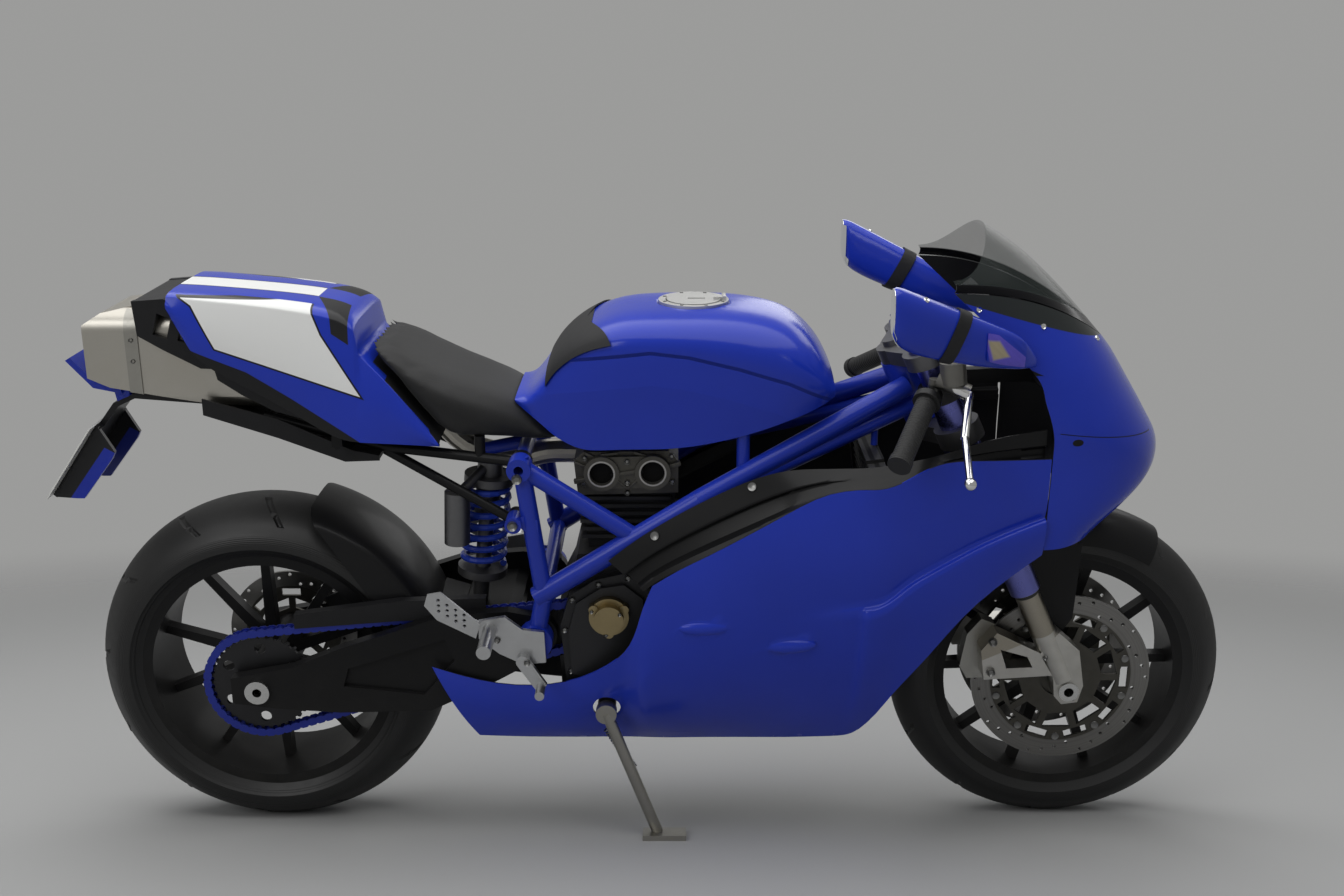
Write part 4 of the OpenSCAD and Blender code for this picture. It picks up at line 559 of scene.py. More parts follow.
paints = {
    "blue": lacquer("blueLacquer", blueShade, 0.18),
    "tank": lacquer("tankLacquer", blueShade, 0.18, 0.3, 0.02, None, reliefTank),
    "tail": lacquer("tailLacquer", blueShade, 0.18, 0.3, 0.03, markTail),
    "nose": lacquer("noseLacquer", blueShade, 0.18, 0.3, 0.03, markNose),
    "hanger": lacquer("hangerBlack", (0.008, 0.008, 0.009), 0.42, 0.3, 0.1, markHanger),
    "frame": lacquer("frameBlue", (0.012, 0.032, 0.36), 0.3, 0.8, 0.06),
    "spring": lacquer("springBlue", (0.02, 0.05, 0.4), 0.3, 0.4, 0.05),
    "chain": castMetal("chainBlue", (0.02, 0.035, 0.3), 0.4, 300.0, 0.2, 0.5),
    "enamel": lacquer("wheelBlack", (0.005, 0.005, 0.0055), 0.4, 0.7, 0.08, None, None, 0.06),
    "matt": moulded("mattBlack", (0.009, 0.009, 0.01), 0.55),
    "pad": moulded("padRubber", (0.014, 0.014, 0.015), 0.6, 0.5, 700.0),
    "gloss": lacquer("pianoBlack", (0.006, 0.006, 0.0065), 0.3, 0.5, 0.03, None, None, 0.12),
    "cast": castMetal("castGrey", (0.16, 0.16, 0.165), 0.48),
    "engine": castMetal("engineDark", (0.035, 0.035, 0.037), 0.5, 260.0, 0.3, 0.7, 0.35, zoneEngine),
    "cover": castMetal("coverDark", (0.028, 0.028, 0.03), 0.46, 300.0, 0.25, 0.6),
    "radiator": castMetal("finCore", (0.06, 0.06, 0.06), 0.5, 260.0, 0.3, 0.7, 0.3, zoneRadiator),
    "dash": castMetal("dashBlack", (0.012, 0.012, 0.013), 0.5, 700.0, 0.25, 0.1, 0.2, zoneDash),
    "bronze": castMetal("bronzeCup", (0.30, 0.24, 0.13), 0.36, 300.0, 0.12),
    "silencer": brushed("warmBrushed", (0.46, 0.44, 0.395), 0.36, (0.03, 1, 1), (0.36, 0.32, 0.25)),
    "steel": brushed("brightSteel", (0.62, 0.62, 0.61), 0.24, (1, 0.02, 1)),
    "cap": brushed("satinCap", (0.64, 0.64, 0.63), 0.46, (1, 0.03, 1)),
    "stand": castMetal("dullPlate", (0.34, 0.33, 0.30), 0.38, 180.0, 0.16),
    "caliper": castMetal("caliperCast", (0.36, 0.355, 0.33), 0.38),
    "chrome": castMetal("polished", (0.74, 0.74, 0.73), 0.1, 90.0, 0.02, 1.0, 0.12),
    "lever": castMetal("leverChrome", (0.74, 0.74, 0.73), 0.12, 90.0, 0.02, 1.0, 0.12, zoneLever),
    "rearset": castMetal("silverCast", (0.50, 0.505, 0.51), 0.34, 260.0, 0.14),
    "sprocket": castMetal("sprocketDark", (0.035, 0.035, 0.037), 0.42, 200.0, 0.15, 0.8),
    "bolt": castMetal("boltSteel", (0.22, 0.22, 0.215), 0.36, 160.0, 0.1),
    "satin": lacquer("satinBlack", (0.006, 0.006, 0.0065), 0.4, 0.7, 0.08, None, None, 0.1),
    "anodised": castMetal("anodisedBlue", (0.03, 0.06, 0.5), 0.26, 160.0, 0.05),
    "glass": castMetal("mirrorGlass", (0.86, 0.88, 0.9), 0.03, 40.0, 0.0, 1.0, 0.03),
    "fork": forkMetal("forkMetal"), "grip": gripRubber("gripRubber"), "screen": screenGlass("smokedScreen"),
    "frontDisc": discMetal("frontDiscMetal", frontHub, 0.1262),
    "rearDisc": discMetal("rearDiscMetal", (0, 0, rearAxleHeight), 0.0902),
    "seat": seatVinyl("seatVinyl"), "plate": blankPlate("blankPlate"),
    "tailLens": lens("tailLens", (0.012, 0.04, 0.5), 0.3, (0, 1400.0, 0)),
    "indicator": lens("indicatorLens", (0.13, 0.10, 0.62), 0.0, (500.0, 0, 500.0), 0.2, markLens),
    "lampLens": lens("lampLens", (0.9, 0.92, 0.94), 0.9, (0, 500.0, 0), 0.02),
}
print("finishes made,", len(paints))

nodeFinish = {
    "blue": ["fairing_right", "fairing_left", "mirror_right", "mirror_left"],
    "tank": ["fuel_tank"], "tail": ["tail_cowl"], "nose": ["nose_cowl"], "hanger": ["plate_hanger"],
    "frame": ["frame"], "spring": ["spring"], "chain": ["chain"],
    "enamel": ["swingarm", "front_rim", "rear_rim", "subframe", "fairing_stay"],
    "matt": ["undertail", "chain_guard", "silencer_shield"], "pad": ["tank_pad", "front_tyre", "rear_tyre"],
    "satin": ["hugger", "front_mudguard"], "gloss": ["inner_panel_right", "inner_panel_left"],
    "cast": ["yokes", "shock"], "engine": ["engine"], "cover": ["engine_cover", "rear_caliper"],
    "radiator": ["radiator"], "dash": ["dash"], "bronze": ["slave_cylinder"],
    "silencer": ["silencer", "exhaust_pipe"], "steel": ["rear_axle", "front_axle"], "cap": ["filler_neck", "fuel_cap"],
    "frontDisc": ["front_discs"], "rearDisc": ["rear_disc"], "fork": ["fork_legs"], "stand": ["side_stand"],
    "caliper": ["front_calipers"], "lever": ["levers"], "rearset": ["rearset_right", "rearset_left"],
    "sprocket": ["sprocket"], "grip": ["clip_ons"], "screen": ["windscreen"], "seat": ["seat"],
    "plate": ["number_plate"], "tailLens": ["tail_lamp"], "indicator": ["indicators"], "lampLens": ["headlamp"],
}
for key, names in nodeFinish.items():
    for nodeName in names:
        slots = cadNodes[nodeName].data.materials
        slots.clear()
        slots.append(paints[key].mat)
print("nodes dressed,", sum(map(len, nodeFinish.values())), "of", len(cadNodes))


# a mesh made in bike mm becomes a piece of the row, on the body of its host node
def newPiece(name, bm, host, finishes, sharp=38):
    bmesh.ops.remove_doubles(bm, verts=bm.verts, dist=0.01)
    bmesh.ops.recalc_face_normals(bm, faces=bm.faces)
    bm.transform(bikeToRow)
    data = bpy.data.meshes.new(name)
    bm.to_mesh(data)
    bm.free()
    for finish in finishes:
        data.materials.append(paints[finish].mat)
    for face in data.polygons:
        face.use_smooth = True
    data.set_sharp_from_angle(angle=math.radians(sharp))
    piece = bpy.data.objects.new(name, data)
    bpy.context.scene.collection.objects.link(piece)
    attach(piece, nodeBody[host])
    return piece


# the points, edges and faces that an operator asks for
def everything(bm):
    return bm.verts[:] + bm.edges[:] + bm.faces[:]


# pushes a flat face out along a vector, and gives back the points that moved
def pushOut(bm, face, way, keep=False):
    grown = bmesh.ops.extrude_face_region(bm, geom=[face], use_keep_orig=keep)["geom"]
    moved = [v for v in grown if isinstance(v, bmesh.types.BMVert)]
    bmesh.ops.translate(bm, vec=way, verts=moved)
    return moved


def nodeCopy(nodeName):
    bm = bmesh.new()
    bm.from_mesh(cadNodes[nodeName].data)
    bm.transform(rowToBike)
    bmesh.ops.remove_doubles(bm, verts=bm.verts, dist=0.05)
    bm.normal_update()
    return bm


creaseFrom = 32  # degrees
flatEnough, squareEnough = 0.4, 1.2  # radians, for joining triangles


# a rounded stand-in for a faceted panel, its real edges kept crisp
def skin(nodeName, finish, levels, heart):
    bm = nodeCopy(nodeName)
    if heart:
        for face in bm.faces:
            at = face.calc_center_median()
            out = Vector((at.x - heart[0] if heart[0] else 0, at.y, at.z - heart[1] if heart[1] else 0))
            face.material_index = 1 if face.normal.dot(out) < 0 else 0
    bmesh.ops.join_triangles(bm, faces=bm.faces, angle_face_threshold=flatEnough, angle_shape_threshold=squareEnough)
    crease = bm.edges.layers.float.new("crease_edge")
    for edge in bm.edges:
        if len(edge.link_faces) != 2 or edge.calc_face_angle() > math.radians(creaseFrom):
            edge[crease] = 1.0
    piece = newPiece(nodeName + "Skin", bm, nodeName, [finish, "matt"], creaseFrom)
    rounding = piece.modifiers.new("rounding", "SUBSURF")
    rounding.levels = rounding.render_levels = levels
    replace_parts(piece, nodeName)


# finish, subdivisions, and for a shell the x and z that its dark inner faces look at (0 leaves that axis out)
skins = {
    "fuel_tank": ("tank", 2, None), "tail_cowl": ("tail", 2, (0, 890)), "nose_cowl": ("nose", 2, (1250, 850)),
    "mirror_right": ("blue", 2, None), "mirror_left": ("blue", 2, None), "windscreen": ("screen", 2, None),
    "tank_pad": ("pad", 2, None), "inner_panel_right": ("gloss", 2, None), "inner_panel_left": ("gloss", 2, None),
    "fairing_right": ("blue", 1, (0, 0)), "fairing_left": ("blue", 1, (0, 0)),
}
for nodeName, (finish, levels, heart) in skins.items():
    skin(nodeName, finish, levels, heart)
print("panels rounded,", len(skins))


# the rear wheel's guard: a crowned strip with flanks, spun round the hub and cut to its outline,
# and the tab by which the swingarm carries it
guard = {"r": 330, "half": 101.5, "crown": 26, "flank": 78, "wall": 3, "from": 22.09, "to": 73, "steps": 44, "arc": 20,
         "rearCut": ((187, 482), (-118, -77)), "footCut": ((281.5, 433), (-12.4, -53)),
         "tabHalf": 60, "tabEnd": (416, 424), "tabRoot": (432, 438), "tabFrom": 303}
rearCentre = Vector((0, 0, rearAxleHeight))
bm = bmesh.new()
arc = [math.pi * (k / guard["arc"] - 0.5) for k in range(guard["arc"] + 1)]
crown = [(guard["half"] * math.sin(a), guard["crown"] * (1 - math.cos(a))) for a in arc]
section = [(-guard["half"], guard["flank"])] + crown + [(guard["half"], guard["flank"])]
row = [bm.verts.new((guard["r"] - drop, y, rearAxleHeight)) for y, drop in section]
line = [bm.edges.new(pair) for pair in zip(row, row[1:])]
bmesh.ops.rotate(bm, verts=row, cent=rearCentre, matrix=Matrix.Rotation(-math.radians(guard["from"]), 3, "Y"))
bmesh.ops.spin(bm, geom=row + line, cent=rearCentre, axis=(0, -1, 0), angle=math.radians(guard["to"] - guard["from"]),
               steps=guard["steps"])
for at, out in (guard["rearCut"], guard["footCut"]):
    bmesh.ops.bisect_plane(bm, geom=everything(bm), dist=0.01, plane_co=(at[0], 0, at[1]), plane_no=(out[0], 0, out[1]),
                           clear_outer=True)
bmesh.ops.recalc_face_normals(bm, faces=bm.faces)
if max(bm.faces, key=lambda f: f.calc_center_median().z).normal.z < 0:
    bmesh.ops.reverse_faces(bm, faces=bm.faces)
bmesh.ops.solidify(bm, geom=bm.faces[:], thickness=guard["wall"])
source = nodeCopy("hugger")
tabTo = max(v.co.x for v in source.verts)
source.free()
corners = [(guard["tabFrom"], guard["tabRoot"][0]), (tabTo, guard["tabEnd"][0]), (tabTo, guard["tabEnd"][1]),
           (guard["tabFrom"], guard["tabRoot"][1])]
tab = bm.faces.new([bm.verts.new((x, -guard["tabHalf"], z)) for x, z in corners])
pushOut(bm, tab, (0, 2 * guard["tabHalf"], 0), True)
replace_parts(newPiece("huggerHood", bm, "hugger", ["satin"], 50), "hugger")
print("rear guard shaped")

# the crown has this many steps; flank and lining are shares of the half width with a drop in mm
tyreSection = {"steps": 28, "crownShare": 0.97, "flank": ((0.995, 9), (0.985, 20)), "bead": ((7, 12), (1, 1.5)),
               "beadIn": (-7, 3), "lining": (0.86, 12), "liningTop": (0.6, 16)}


# a tyre turned from its section, with slanted grooves pressed into both shoulders
def tyre(nodeName, spec):
    hub, r, half, crown, steps = Vector(spec["hub"]), spec["r"], spec["w"] / 2, spec["crown"], spec["steps"]
    cut = tyreSection
    wide = math.asin(cut["crownShare"] * half / crown)
    turns = [wide * (k / (cut["steps"] / 2) - 1) for k in range(cut["steps"] + 1)]
    section = [(crown * math.sin(a), r - crown + crown * math.cos(a)) for a in turns]
    shoulder = section[-1][1]
    beadY, beadR = spec["beadW"] / 2, spec["beadR"]
    right = [(half * share, shoulder - drop) for share, drop in cut["flank"]]
    right += [(beadY + out, beadR + up) for out, up in (*cut["bead"], cut["beadIn"])]
    right.append((half * cut["lining"][0], shoulder - cut["lining"][1]))
    right.append((half * cut["liningTop"][0], r - cut["liningTop"][1]))
    closed = section + right + [(-y, z) for y, z in reversed(right)]
    bm = bmesh.new()
    verts = [bm.verts.new(hub + Vector((0, y, z))) for y, z in closed]
    edges = [bm.edges.new((a, b)) for a, b in zip(verts, verts[1:] + verts[:1])]
    bmesh.ops.spin(bm, geom=verts + edges, cent=hub, axis=(0, 1, 0), angle=2 * math.pi, steps=steps, use_merge=True)
    bmesh.ops.recalc_face_normals(bm, faces=bm.faces)
    grooves = {}
    for face in bm.faces:
        at = face.calc_center_median() - hub
        reach = abs(at.y) / half
        if spec["grooveFrom"] < reach < spec["grooveTo"] and math.hypot(at.x, at.z) > shoulder:
            column = int((math.atan2(at.x, at.z) / (2 * math.pi) + 0.5) * steps)
            column += spec["every"] // 2 if at.y > 0 else 0  # the two sides are staggered
            if column % spec["every"] == 0:
                grooves.setdefault((column, at.y > 0), []).append(face)
    for vert in bm.verts:
        at = vert.co - hub
        turn = Matrix.Rotation(spec["slant"] * abs(at.y) / half * (abs(at.y) / half), 4, "Y")
        if math.hypot(at.x, at.z) > shoulder + 1:
            vert.co = hub + turn @ at
    for faces in grooves.values():
        bmesh.ops.inset_region(bm, faces=faces, thickness=spec["lip"], depth=-spec["deep"], use_even_offset=True)
    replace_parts(newPiece(nodeName + "Rubber", bm, nodeName, [nodeName], 30), nodeName)


tyres = {
    "front_tyre": {"hub": frontHub, "r": 300, "w": 120, "crown": 62, "beadR": 216, "beadW": 88, "steps": 144,
                   "grooveFrom": 0.16, "grooveTo": 0.8, "every": 12, "slant": 0.16, "lip": 3.6, "deep": 3.5},
    "rear_tyre": {"hub": rearCentre, "r": 313, "w": 186, "crown": 106, "beadR": 216, "beadW": 140, "steps": 144,
                  "grooveFrom": 0.14, "grooveTo": 0.84, "every": 12, "slant": 0.2, "lip": 3.6, "deep": 3.5},
}
for nodeName, spec in tyres.items():
    paints[nodeName] = tyreRubber(nodeName + "Side", spec["hub"], spec["r"] / 1000)
    tyre(nodeName, spec)
print("tyres turned")

# the seat is padded: a slightly smaller foam core swells under its cover
seatPad = {"voxel": 0.006, "shrink": 2.5, "pressure": 4.0, "frames": 20, "cap": 0.005, "fill": 0.8, "smoothing": 3}
bm = nodeCopy("seat")
for vert, inward in [(v, v.normal * -seatPad["shrink"]) for v in bm.verts]:
    vert.co += inward
seat = newPiece("seatCushion", bm, "seat", ["seat"], 60)
bpy.context.view_layer.objects.active = seat
remesh = seat.modifiers.new("remesh", "REMESH")
remesh.mode, remesh.voxel_size = "VOXEL", seatPad["voxel"]
bpy.ops.object.modifier_apply(modifier="remesh")
before = [v.co.copy() for v in seat.data.vertices]
cloth = seat.modifiers.new("swell", "CLOTH")
cloth.settings.use_pressure = True
cloth.settings.uniform_pressure_force = seatPad["pressure"]
cloth.settings.effector_weights.gravity = 0
for number in range(1, seatPad["frames"] + 1):
    bpy.context.scene.frame_set(number)
bpy.ops.object.modifier_apply(modifier="swell")
bpy.context.scene.frame_set(1)
for vert, start in zip(seat.data.vertices, before):
    moved = vert.co - start
    if moved.length > seatPad["cap"]:
        vert.co = start + moved.normalized() * seatPad["cap"]
cover = bmesh.new()
cover.from_mesh(seat.data)
for k in range(seatPad["smoothing"]):
    bmesh.ops.smooth_vert(cover, verts=cover.verts, factor=0.5, use_axis_x=True, use_axis_y=True, use_axis_z=True)
cover.to_mesh(seat.data)
cover.free()
for face in seat.data.polygons:
    face.use_smooth = True
fineness = seat.modifiers.new("fineness", "SUBSURF")
fineness.levels = fineness.render_levels = 1
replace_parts(seat, "seat")
print("seat padded,", len(seat.data.vertices), "points")

# the lamp: clear cover in front, bright bowls behind
bm = nodeCopy("headlamp")
lampParts, left = [], set(bm.faces)
while left:
    found, waiting = set(), [left.pop()]
    while waiting:
        face = waiting.pop()
        found.add(face)
        for near in {f for e in face.edges for f in e.link_faces} & left:
            left.discard(near)
            waiting.append(near)
    lampParts.append(found)
front = max(lampParts, key=lambda part: max(v.co.x for f in part for v in f.verts))
for part in lampParts:
    for face in part:
        face.material_index = 0 if part is front else 1
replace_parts(newPiece("headlampUnit", bm, "headlamp", ["lampLens", "chrome"]), "headlamp")


# a thin cover cut from a node's skin: its faces, the planes that bound it, how proud it lies
def trimFrom(nodeName, keepFace, planes, lift, wall):
    bm = nodeCopy(nodeName)
    bmesh.ops.delete(bm, geom=[f for f in bm.faces if not keepFace(f)], context="FACES")
    for at, out in planes:
        bmesh.ops.bisect_plane(bm, geom=everything(bm), dist=0.001, plane_co=at, plane_no=out, clear_outer=True)
    bm.normal_update()
    for vert, offset in [(v, v.normal * lift) for v in bm.verts]:
        vert.co += offset
    bmesh.ops.solidify(bm, geom=bm.faces[:], thickness=-wall)
    return bm


strap = {"from": -186, "to": -164, "lift": 0.4, "wall": 1.6, "above": 840, "outside": 60, "facing": 0.6}


# the silencer's outer skin, without its ends and what lies in the middle
def onSilencer(face):
    wide = max(abs(v.co.y) for v in face.verts)
    high = face.calc_center_median().z > strap["above"]
    return abs(face.normal.x) < strap["facing"] and high and wide > strap["outside"]


ends = [((strap["from"], 0, 0), (-1, 0, 0)), ((strap["to"], 0, 0), (1, 0, 0))]
newPiece("silencerStrap", trimFrom("silencer", onSilencer, ends, strap["lift"], strap["wall"]), "silencer", ["stand"])

# each mirror has a rubber band round its arm and a glass on its rear face
mirrorBand = {"fore": 1178, "aft": 1153, "height": 1011, "slant": 0.48, "lift": 0.5, "wall": 2.4}
mirrorGlass = {"facing": -0.75, "lift": 0.3, "wall": 0.8}
ends = [((mirrorBand["fore"], 0, mirrorBand["height"]), (1, 0, -mirrorBand["slant"])),
        ((mirrorBand["aft"], 0, mirrorBand["height"]), (-1, 0, mirrorBand["slant"]))]
for side in ("right", "left"):
    host = "mirror_" + side
    sleeve = trimFrom(host, lambda f: True, ends, mirrorBand["lift"], mirrorBand["wall"])
    newPiece("mirrorBand_" + side, sleeve, host, ["pad"])
    pane = trimFrom(host, lambda f: f.normal.x < mirrorGlass["facing"], [], mirrorGlass["lift"], mirrorGlass["wall"])
    newPiece("mirrorGlass_" + side, pane, host, ["glass"])
print("lamp, strap and mirror glass made")

# black side trims between the tail and the silencer
tailTrim = {"side": [(-38, 902), (-30, 866), (8, 840), (60, 812), (168, 780), (160, 800), (60, 862)], "at": 106.5,
            "wall": 3, "edge": 1.2}
bm = bmesh.new()
for side in (-1, 1):
    plate = bm.faces.new([bm.verts.new((x, side * tailTrim["at"], z)) for x, z in tailTrim["side"]])
    moved = pushOut(bm, plate, (0, side * tailTrim["wall"], 0))
    rim = [e for e in bm.edges if all(v in moved for v in e.verts)]
    bmesh.ops.bevel(bm, geom=rim, offset=tailTrim["edge"], segments=2, profile=0.5, affect="EDGES", material=-1)
newPiece("tailTrims", bm, "undertail", ["matt"])

# shares of the radius and height, and how far a screw is sunk in mm
screwShape = {"segments": 18, "taper": 0.88, "rim": 0.42, "socket": 0.6, "sunk": 0.3}


# a socket screw standing on a surface
def screw(bm, at, out, r, h):
    out = Vector(out).normalized()
    stand = Matrix.Translation(at) @ out.to_track_quat("Z", "Y").to_matrix().to_4x4()
    stand = stand @ Matrix.Translation((0, 0, h / 2))
    made = bmesh.ops.create_cone(bm, cap_ends=True, segments=screwShape["segments"], radius1=r,
                                 radius2=screwShape["taper"] * r, depth=h, matrix=stand)
    bm.normal_update()
    top = max({f for v in made["verts"] for f in v.link_faces}, key=lambda f: f.normal.dot(out))
    bmesh.ops.inset_region(bm, faces=[top], thickness=screwShape["rim"] * r)
    for vert in top.verts:
        vert.co -= out * screwShape["socket"] * h


# screws looked for on the real surface: from outside at (x, z), or at the nearest point to one given
def screws(name, nodeName, finish, spots, r, h, near=False, sides=(-1, 1)):
    source = nodeCopy(nodeName)
    tree = BVHTree.FromBMesh(source)
    source.free()
    bm = bmesh.new()
    for side in sides:
        for spot in spots:
            if near:
                at, out = tree.find_nearest(Vector((spot[0], side * spot[1], spot[2])))[:2]
            else:
                at, out = tree.ray_cast(Vector((spot[0], side * 400, spot[1])), Vector((0, -side, 0)))[:2]
            if at is not None:
                screw(bm, at - out * screwShape["sunk"], out, r, h)
    newPiece(name, bm, nodeName, [finish])


mirrorSpots = [(1092, 300, 1036)]
panelSpots = [(852, 187, 707), (693, 193, 623.5)]
rearsetSpots = [(427, 434), (470, 470), (478, 400)]
coverSpots = [(546, 352), (537, 430), (551, 486), (596, 514), (646, 526), (683, 492), (686, 402), (657, 347),
              (601, 323)]
headSpots = [(572, 684), (646, 690), (722, 688), (574, 730), (646, 727), (721, 733), (646, 668)]
caseSpots = [(706, 330), (742, 400), (716, 470), (728, 540), (640, 548), (570, 545)]
# piece, host node, finish, spots, radius, height, nearest point, sides
hardware = [
    ("coverBolts", "engine_cover", "bolt", coverSpots, 5.5, 4, False, (-1,)),
    ("headBolts", "engine", "bolt", headSpots, 5, 5, False, (-1,)),
    ("caseBolts", "engine", "bolt", caseSpots, 5, 4),
    ("slaveBolts", "slave_cylinder", "bolt", [(633, 474), (585, 474), (609, 430)], 3.5, 3, False, (-1,)),
    ("screenStuds", "nose_cowl", "chrome", [(1207, 172, 1000), (1313, 163, 970), (1421, 98, 935)], 5, 2.2, True),
    ("mirrorStud_right", "mirror_right", "chrome", mirrorSpots, 5, 2.2, True, (-1,)),
    ("mirrorStud_left", "mirror_left", "chrome", mirrorSpots, 5, 2.2, True, (1,)),
    ("panelStuds_right", "inner_panel_right", "bolt", panelSpots, 8, 2.4, True, (-1,)),
    ("panelStuds_left", "inner_panel_left", "bolt", panelSpots, 8, 2.4, True, (1,)),
    ("caliperBolts", "fork_legs", "bolt", [(1281, 336), (1281, 394)], 8, 7),
    ("pinchBolts", "fork_legs", "bolt", [(1428, 284), (1376, 364)], 4.5, 4),
    ("strapRivets", "silencer", "bolt", [(-175, 928), (-175, 892)], 4, 4.6),
    ("frameBolts", "frame", "bolt", [(457, 634), (467, 716)], 9, 5),
    ("rearsetBolts_right", "rearset_right", "bolt", rearsetSpots, 6, 4, False, (-1,)),
    ("rearsetBolts_left", "rearset_left", "bolt", rearsetSpots, 6, 4, False, (1,)),
]
for kit in hardware:
    screws(*kit)

# ribs cast on the outer face of the cylinder head: from, to, width, inner and outer y
ribs = [
    ((622, 703), (670, 711), 7, -117, -122), ((626, 695), (645, 680), 4, -117, -120),
    ((666, 697), (648, 680), 4, -117, -120), ((575, 693), (560, 690), 8, -107, -116),
    ((716, 716), (732, 721), 8, -107, -116), ((588, 733), (578, 738), 5, -107, -114),
    ((676, 735), (660, 740), 5, -107, -114), ((604, 736), (628, 739), 5, -107, -114),
    ((574, 716), (560, 722), 5, -107, -113),
]
ribEdge = 1.2
bm = bmesh.new()
for start, end, width, inner, outer in ribs:
    run = Vector((end[0] - start[0], 0, end[1] - start[1]))
    turn = Matrix.Rotation(-math.atan2(run.z, run.x), 4, "Y")
    middle = Vector(((start[0] + end[0]) / 2, (inner + outer) / 2, (start[1] + end[1]) / 2))
    size = Matrix.Diagonal((run.length + width, abs(outer - inner), width, 1))
    made = bmesh.ops.create_cube(bm, size=1, matrix=Matrix.Translation(middle) @ turn @ size)
    edges = list({e for v in made["verts"] for e in v.link_edges})
    bmesh.ops.bevel(bm, geom=edges, offset=ribEdge, affect="EDGES", segments=2, profile=0.5, material=-1)
newPiece("headRibs", bm, "engine", ["engine"])


# a ring's directions, half a step on from the first axis
def roundRing(count):
    turns = [2 * math.pi * (k + 0.5) / count for k in range(count)]
    return [(math.cos(a), math.sin(a)) for a in turns]


# floating-disc buttons, filler-ring screws and the blue adjusters on the fork caps
buttons = {"count": 10, "at": 119, "r": 7.5, "h": 1.8, "face": 64.8}
bm = bmesh.new()
for side in (-1, 1):
    for u, v in roundRing(buttons["count"]):
        spot = frontHub + Vector((buttons["at"] * u, side * buttons["face"], buttons["at"] * v))
        screw(bm, spot, (0, side, 0), buttons["r"], buttons["h"])
newPiece("discButtons", bm, "front_discs", ["bolt"])
fillerRing = {"middle": (758, 0, 979.2), "at": 53, "count": 8, "r": 3.2, "h": 1.6}
bm = bmesh.new()
for u, v in roundRing(fillerRing["count"]):
    spot = Vector(fillerRing["middle"]) + Vector((fillerRing["at"] * u, fillerRing["at"] * v, 0))
    screw(bm, spot, (0, 0, 1), fillerRing["r"], fillerRing["h"])
newPiece("fillerScrews", bm, "filler_neck", ["bolt"])
adjuster = {"r": 11, "h": 7, "flat": 0.5}
source = nodeCopy("fork_legs")
bm = bmesh.new()
for side in (-1, 1):
    leg = [v.co for v in source.verts if v.co.y * side > 0]
    crest = max(p.dot(steerAxis) for p in leg)
    top = [p for p in leg if p.dot(steerAxis) > crest - adjuster["flat"]]
    spot = sum(top, Vector()) / len(top) - steerAxis * screwShape["sunk"]
    screw(bm, spot, steerAxis, adjuster["r"], adjuster["h"])
source.free()
newPiece("forkAdjusters", bm, "fork_legs", ["anodised"])

# the stand's return spring, a close coil beside the leg: from and to are shares of the leg
coil = {"turns": 16, "steps": 18, "r": 6.5, "wire": 1.3, "wireSides": 8, "from": 0.1, "to": 0.42, "off": 15}
source = nodeCopy("side_stand")
pivot = rowToBike @ Vector(joints["side_stand_swing"]["pos_m"])
foot = max((v.co.copy() for v in source.verts), key=lambda p: (p - pivot).length)
source.free()
reach = (foot - pivot).length
leg = (foot - pivot).normalized()
aside = leg.cross(Vector((0, 1, 0))).normalized()
start = pivot + leg * reach * coil["from"] - aside * coil["off"]
length = reach * (coil["to"] - coil["from"])
steps = coil["turns"] * coil["steps"]
wireTurn = leg.cross(aside).to_track_quat("Z", "Y").to_matrix().to_4x4()
bm = bmesh.new()
made = bmesh.ops.create_circle(bm, segments=coil["wireSides"], radius=coil["wire"],
                               matrix=Matrix.Translation(start + aside * coil["r"]) @ wireTurn)
bmesh.ops.spin(bm, geom=made["verts"] + list({e for v in made["verts"] for e in v.link_edges}), cent=start, axis=leg,
               dvec=leg * length / steps, angle=coil["turns"] * 2 * math.pi, steps=steps)
newPiece("standSpring", bm, "side_stand", ["bolt"], 60)
print("hardware set,", len(hardware), "kits of screws")

# the eye stands level, its place in mm
camera = {"at": (37.5, -2387.3, 772.8), "sensor": 36, "lens": 36.923, "shiftY": -0.03655}
eye = bpy.data.objects.new("eye", bpy.data.cameras.new("eye"))
eye.data.sensor_width = camera["sensor"]
eye.data.lens = camera["lens"]
eye.data.shift_y = camera["shiftY"]
eye.location = Vector(camera["at"]) / 1000
eye.rotation_euler = (math.pi / 2, 0, 0)
bpy.context.scene.collection.objects.link(eye)
bpy.context.scene.camera = eye

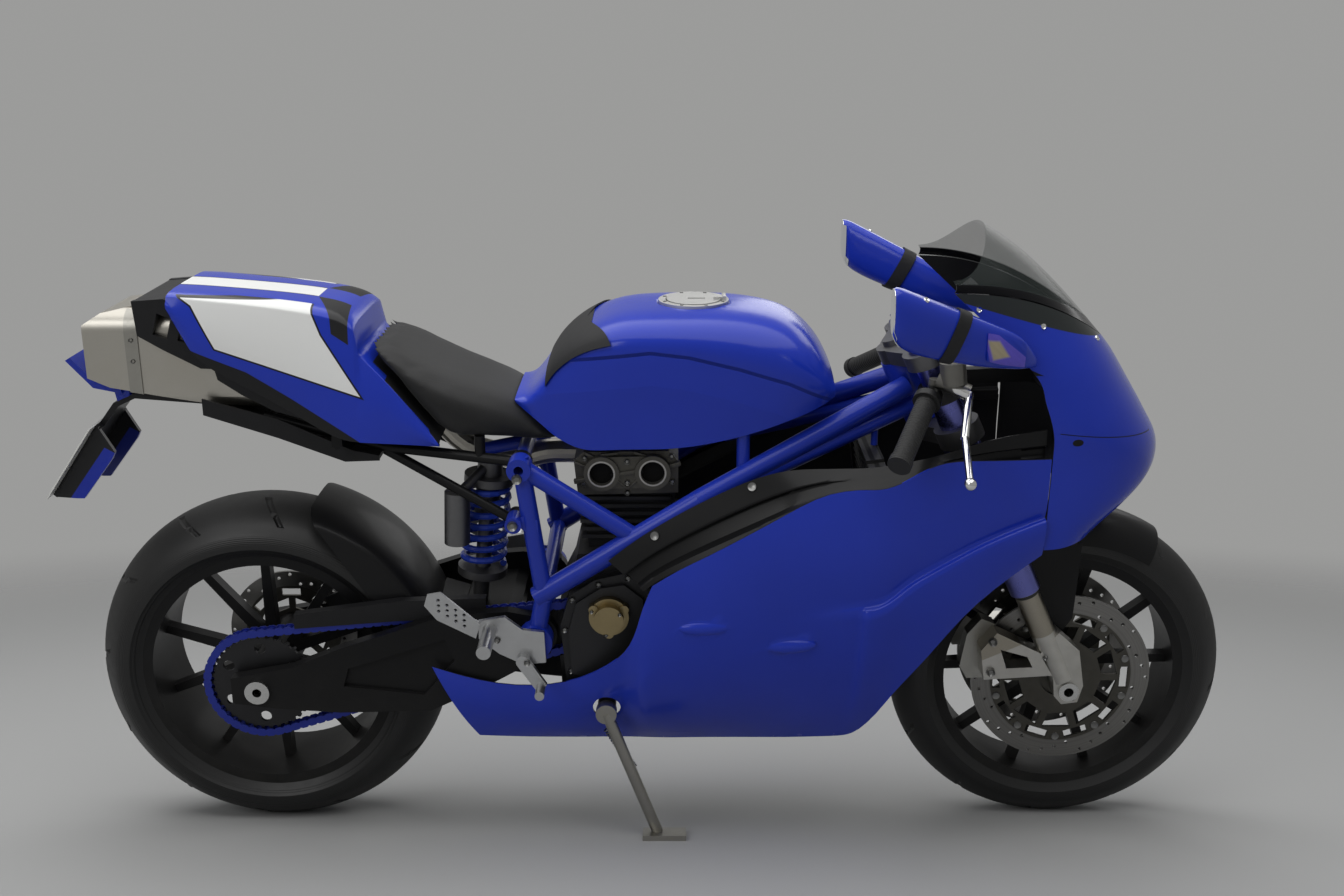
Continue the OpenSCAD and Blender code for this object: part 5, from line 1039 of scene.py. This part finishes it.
# a pale floor that fades into a plain backdrop on every side
studio = {"floor": (0.40, 0.40, 0.395), "size": 9.0, "middle": 0.71, "fade": (2.0, 5.5), "segments": 64,
          "sky": (0.8, 0.83, 0.86), "skyPower": 0.22, "backdrop": (0.33, 0.33, 0.325)}
bm = bmesh.new()
bmesh.ops.create_circle(bm, cap_ends=True, segments=studio["segments"], radius=studio["size"])
floorMesh = bpy.data.meshes.new("floor")
bm.to_mesh(floorMesh)
bm.free()
floor = bpy.data.objects.new("floor", floorMesh)
bpy.context.scene.collection.objects.link(floor)
floorPaint = Paint("paleFloor", Base_Color=studio["floor"], Roughness=0.7, Specular_IOR_Level=0.2)
x, y, _ = floorPaint.split(floorPaint.place())
away = ((x - studio["middle"]) ** 2.0 + y * y) ** 0.5
fade = short(away, studio["fade"][1], studio["fade"][1] - studio["fade"][0])
floorPaint.put("Alpha", fade * fade * (3.0 - 2.0 * fade))
floorMesh.materials.append(floorPaint.mat)

# the sky lights the bike; the camera, metal and glass see the backdrop
world = bpy.data.worlds.new("studio")
bpy.context.scene.world = world
world.use_nodes = True
tree = world.node_tree
sky = tree.nodes["Background"]
sky.inputs["Color"].default_value = (*studio["sky"], 1)
sky.inputs["Strength"].default_value = studio["skyPower"]
plain = tree.nodes.new("ShaderNodeBackground")
plain.inputs["Color"].default_value = (*studio["backdrop"], 1)
pick = tree.nodes.new("ShaderNodeMixShader")
path = tree.nodes.new("ShaderNodeLightPath")
seen = path.outputs["Is Camera Ray"]
for kind in ("Is Glossy Ray", "Is Transmission Ray"):
    either = tree.nodes.new("ShaderNodeMath")
    either.operation = "MAXIMUM"
    tree.links.new(seen, either.inputs[0])
    tree.links.new(path.outputs[kind], either.inputs[1])
    seen = either.outputs[0]
tree.links.new(seen, pick.inputs[0])
tree.links.new(sky.outputs[0], pick.inputs[1])
tree.links.new(plain.outputs[0], pick.inputs[2])
tree.links.new(pick.outputs[0], tree.nodes["World Output"].inputs["Surface"])
lamps = {
    "topSoft": {"at": (-0.3, -0.5, 3.6), "to": (0, 0.1, 0.5), "size": (6.6, 4.4), "power": 168},
    "frontSoft": {"at": (-2.6, -3.4, 2.2), "to": (0, 0, 0.5), "size": (2.2, 1.8), "power": 38},
    "backSoft": {"at": (1.6, 2.6, 2.6), "to": (0, 0, 0.6), "size": (2.6, 1.4), "power": 16},
}
for name, lamp in lamps.items():
    light = bpy.data.objects.new(name, bpy.data.lights.new(name, "AREA"))
    light.data.shape = "RECTANGLE"
    light.data.size, light.data.size_y = lamp["size"]
    light.data.energy = lamp["power"]
    light.visible_camera = False
    light.location = lamp["at"]
    light.rotation_euler = (Vector(lamp["to"]) - Vector(lamp["at"])).to_track_quat("-Z", "Y").to_euler()
    bpy.context.scene.collection.objects.link(light)
bpy.context.scene.view_settings.view_transform = "Standard"
print("camera and studio set")
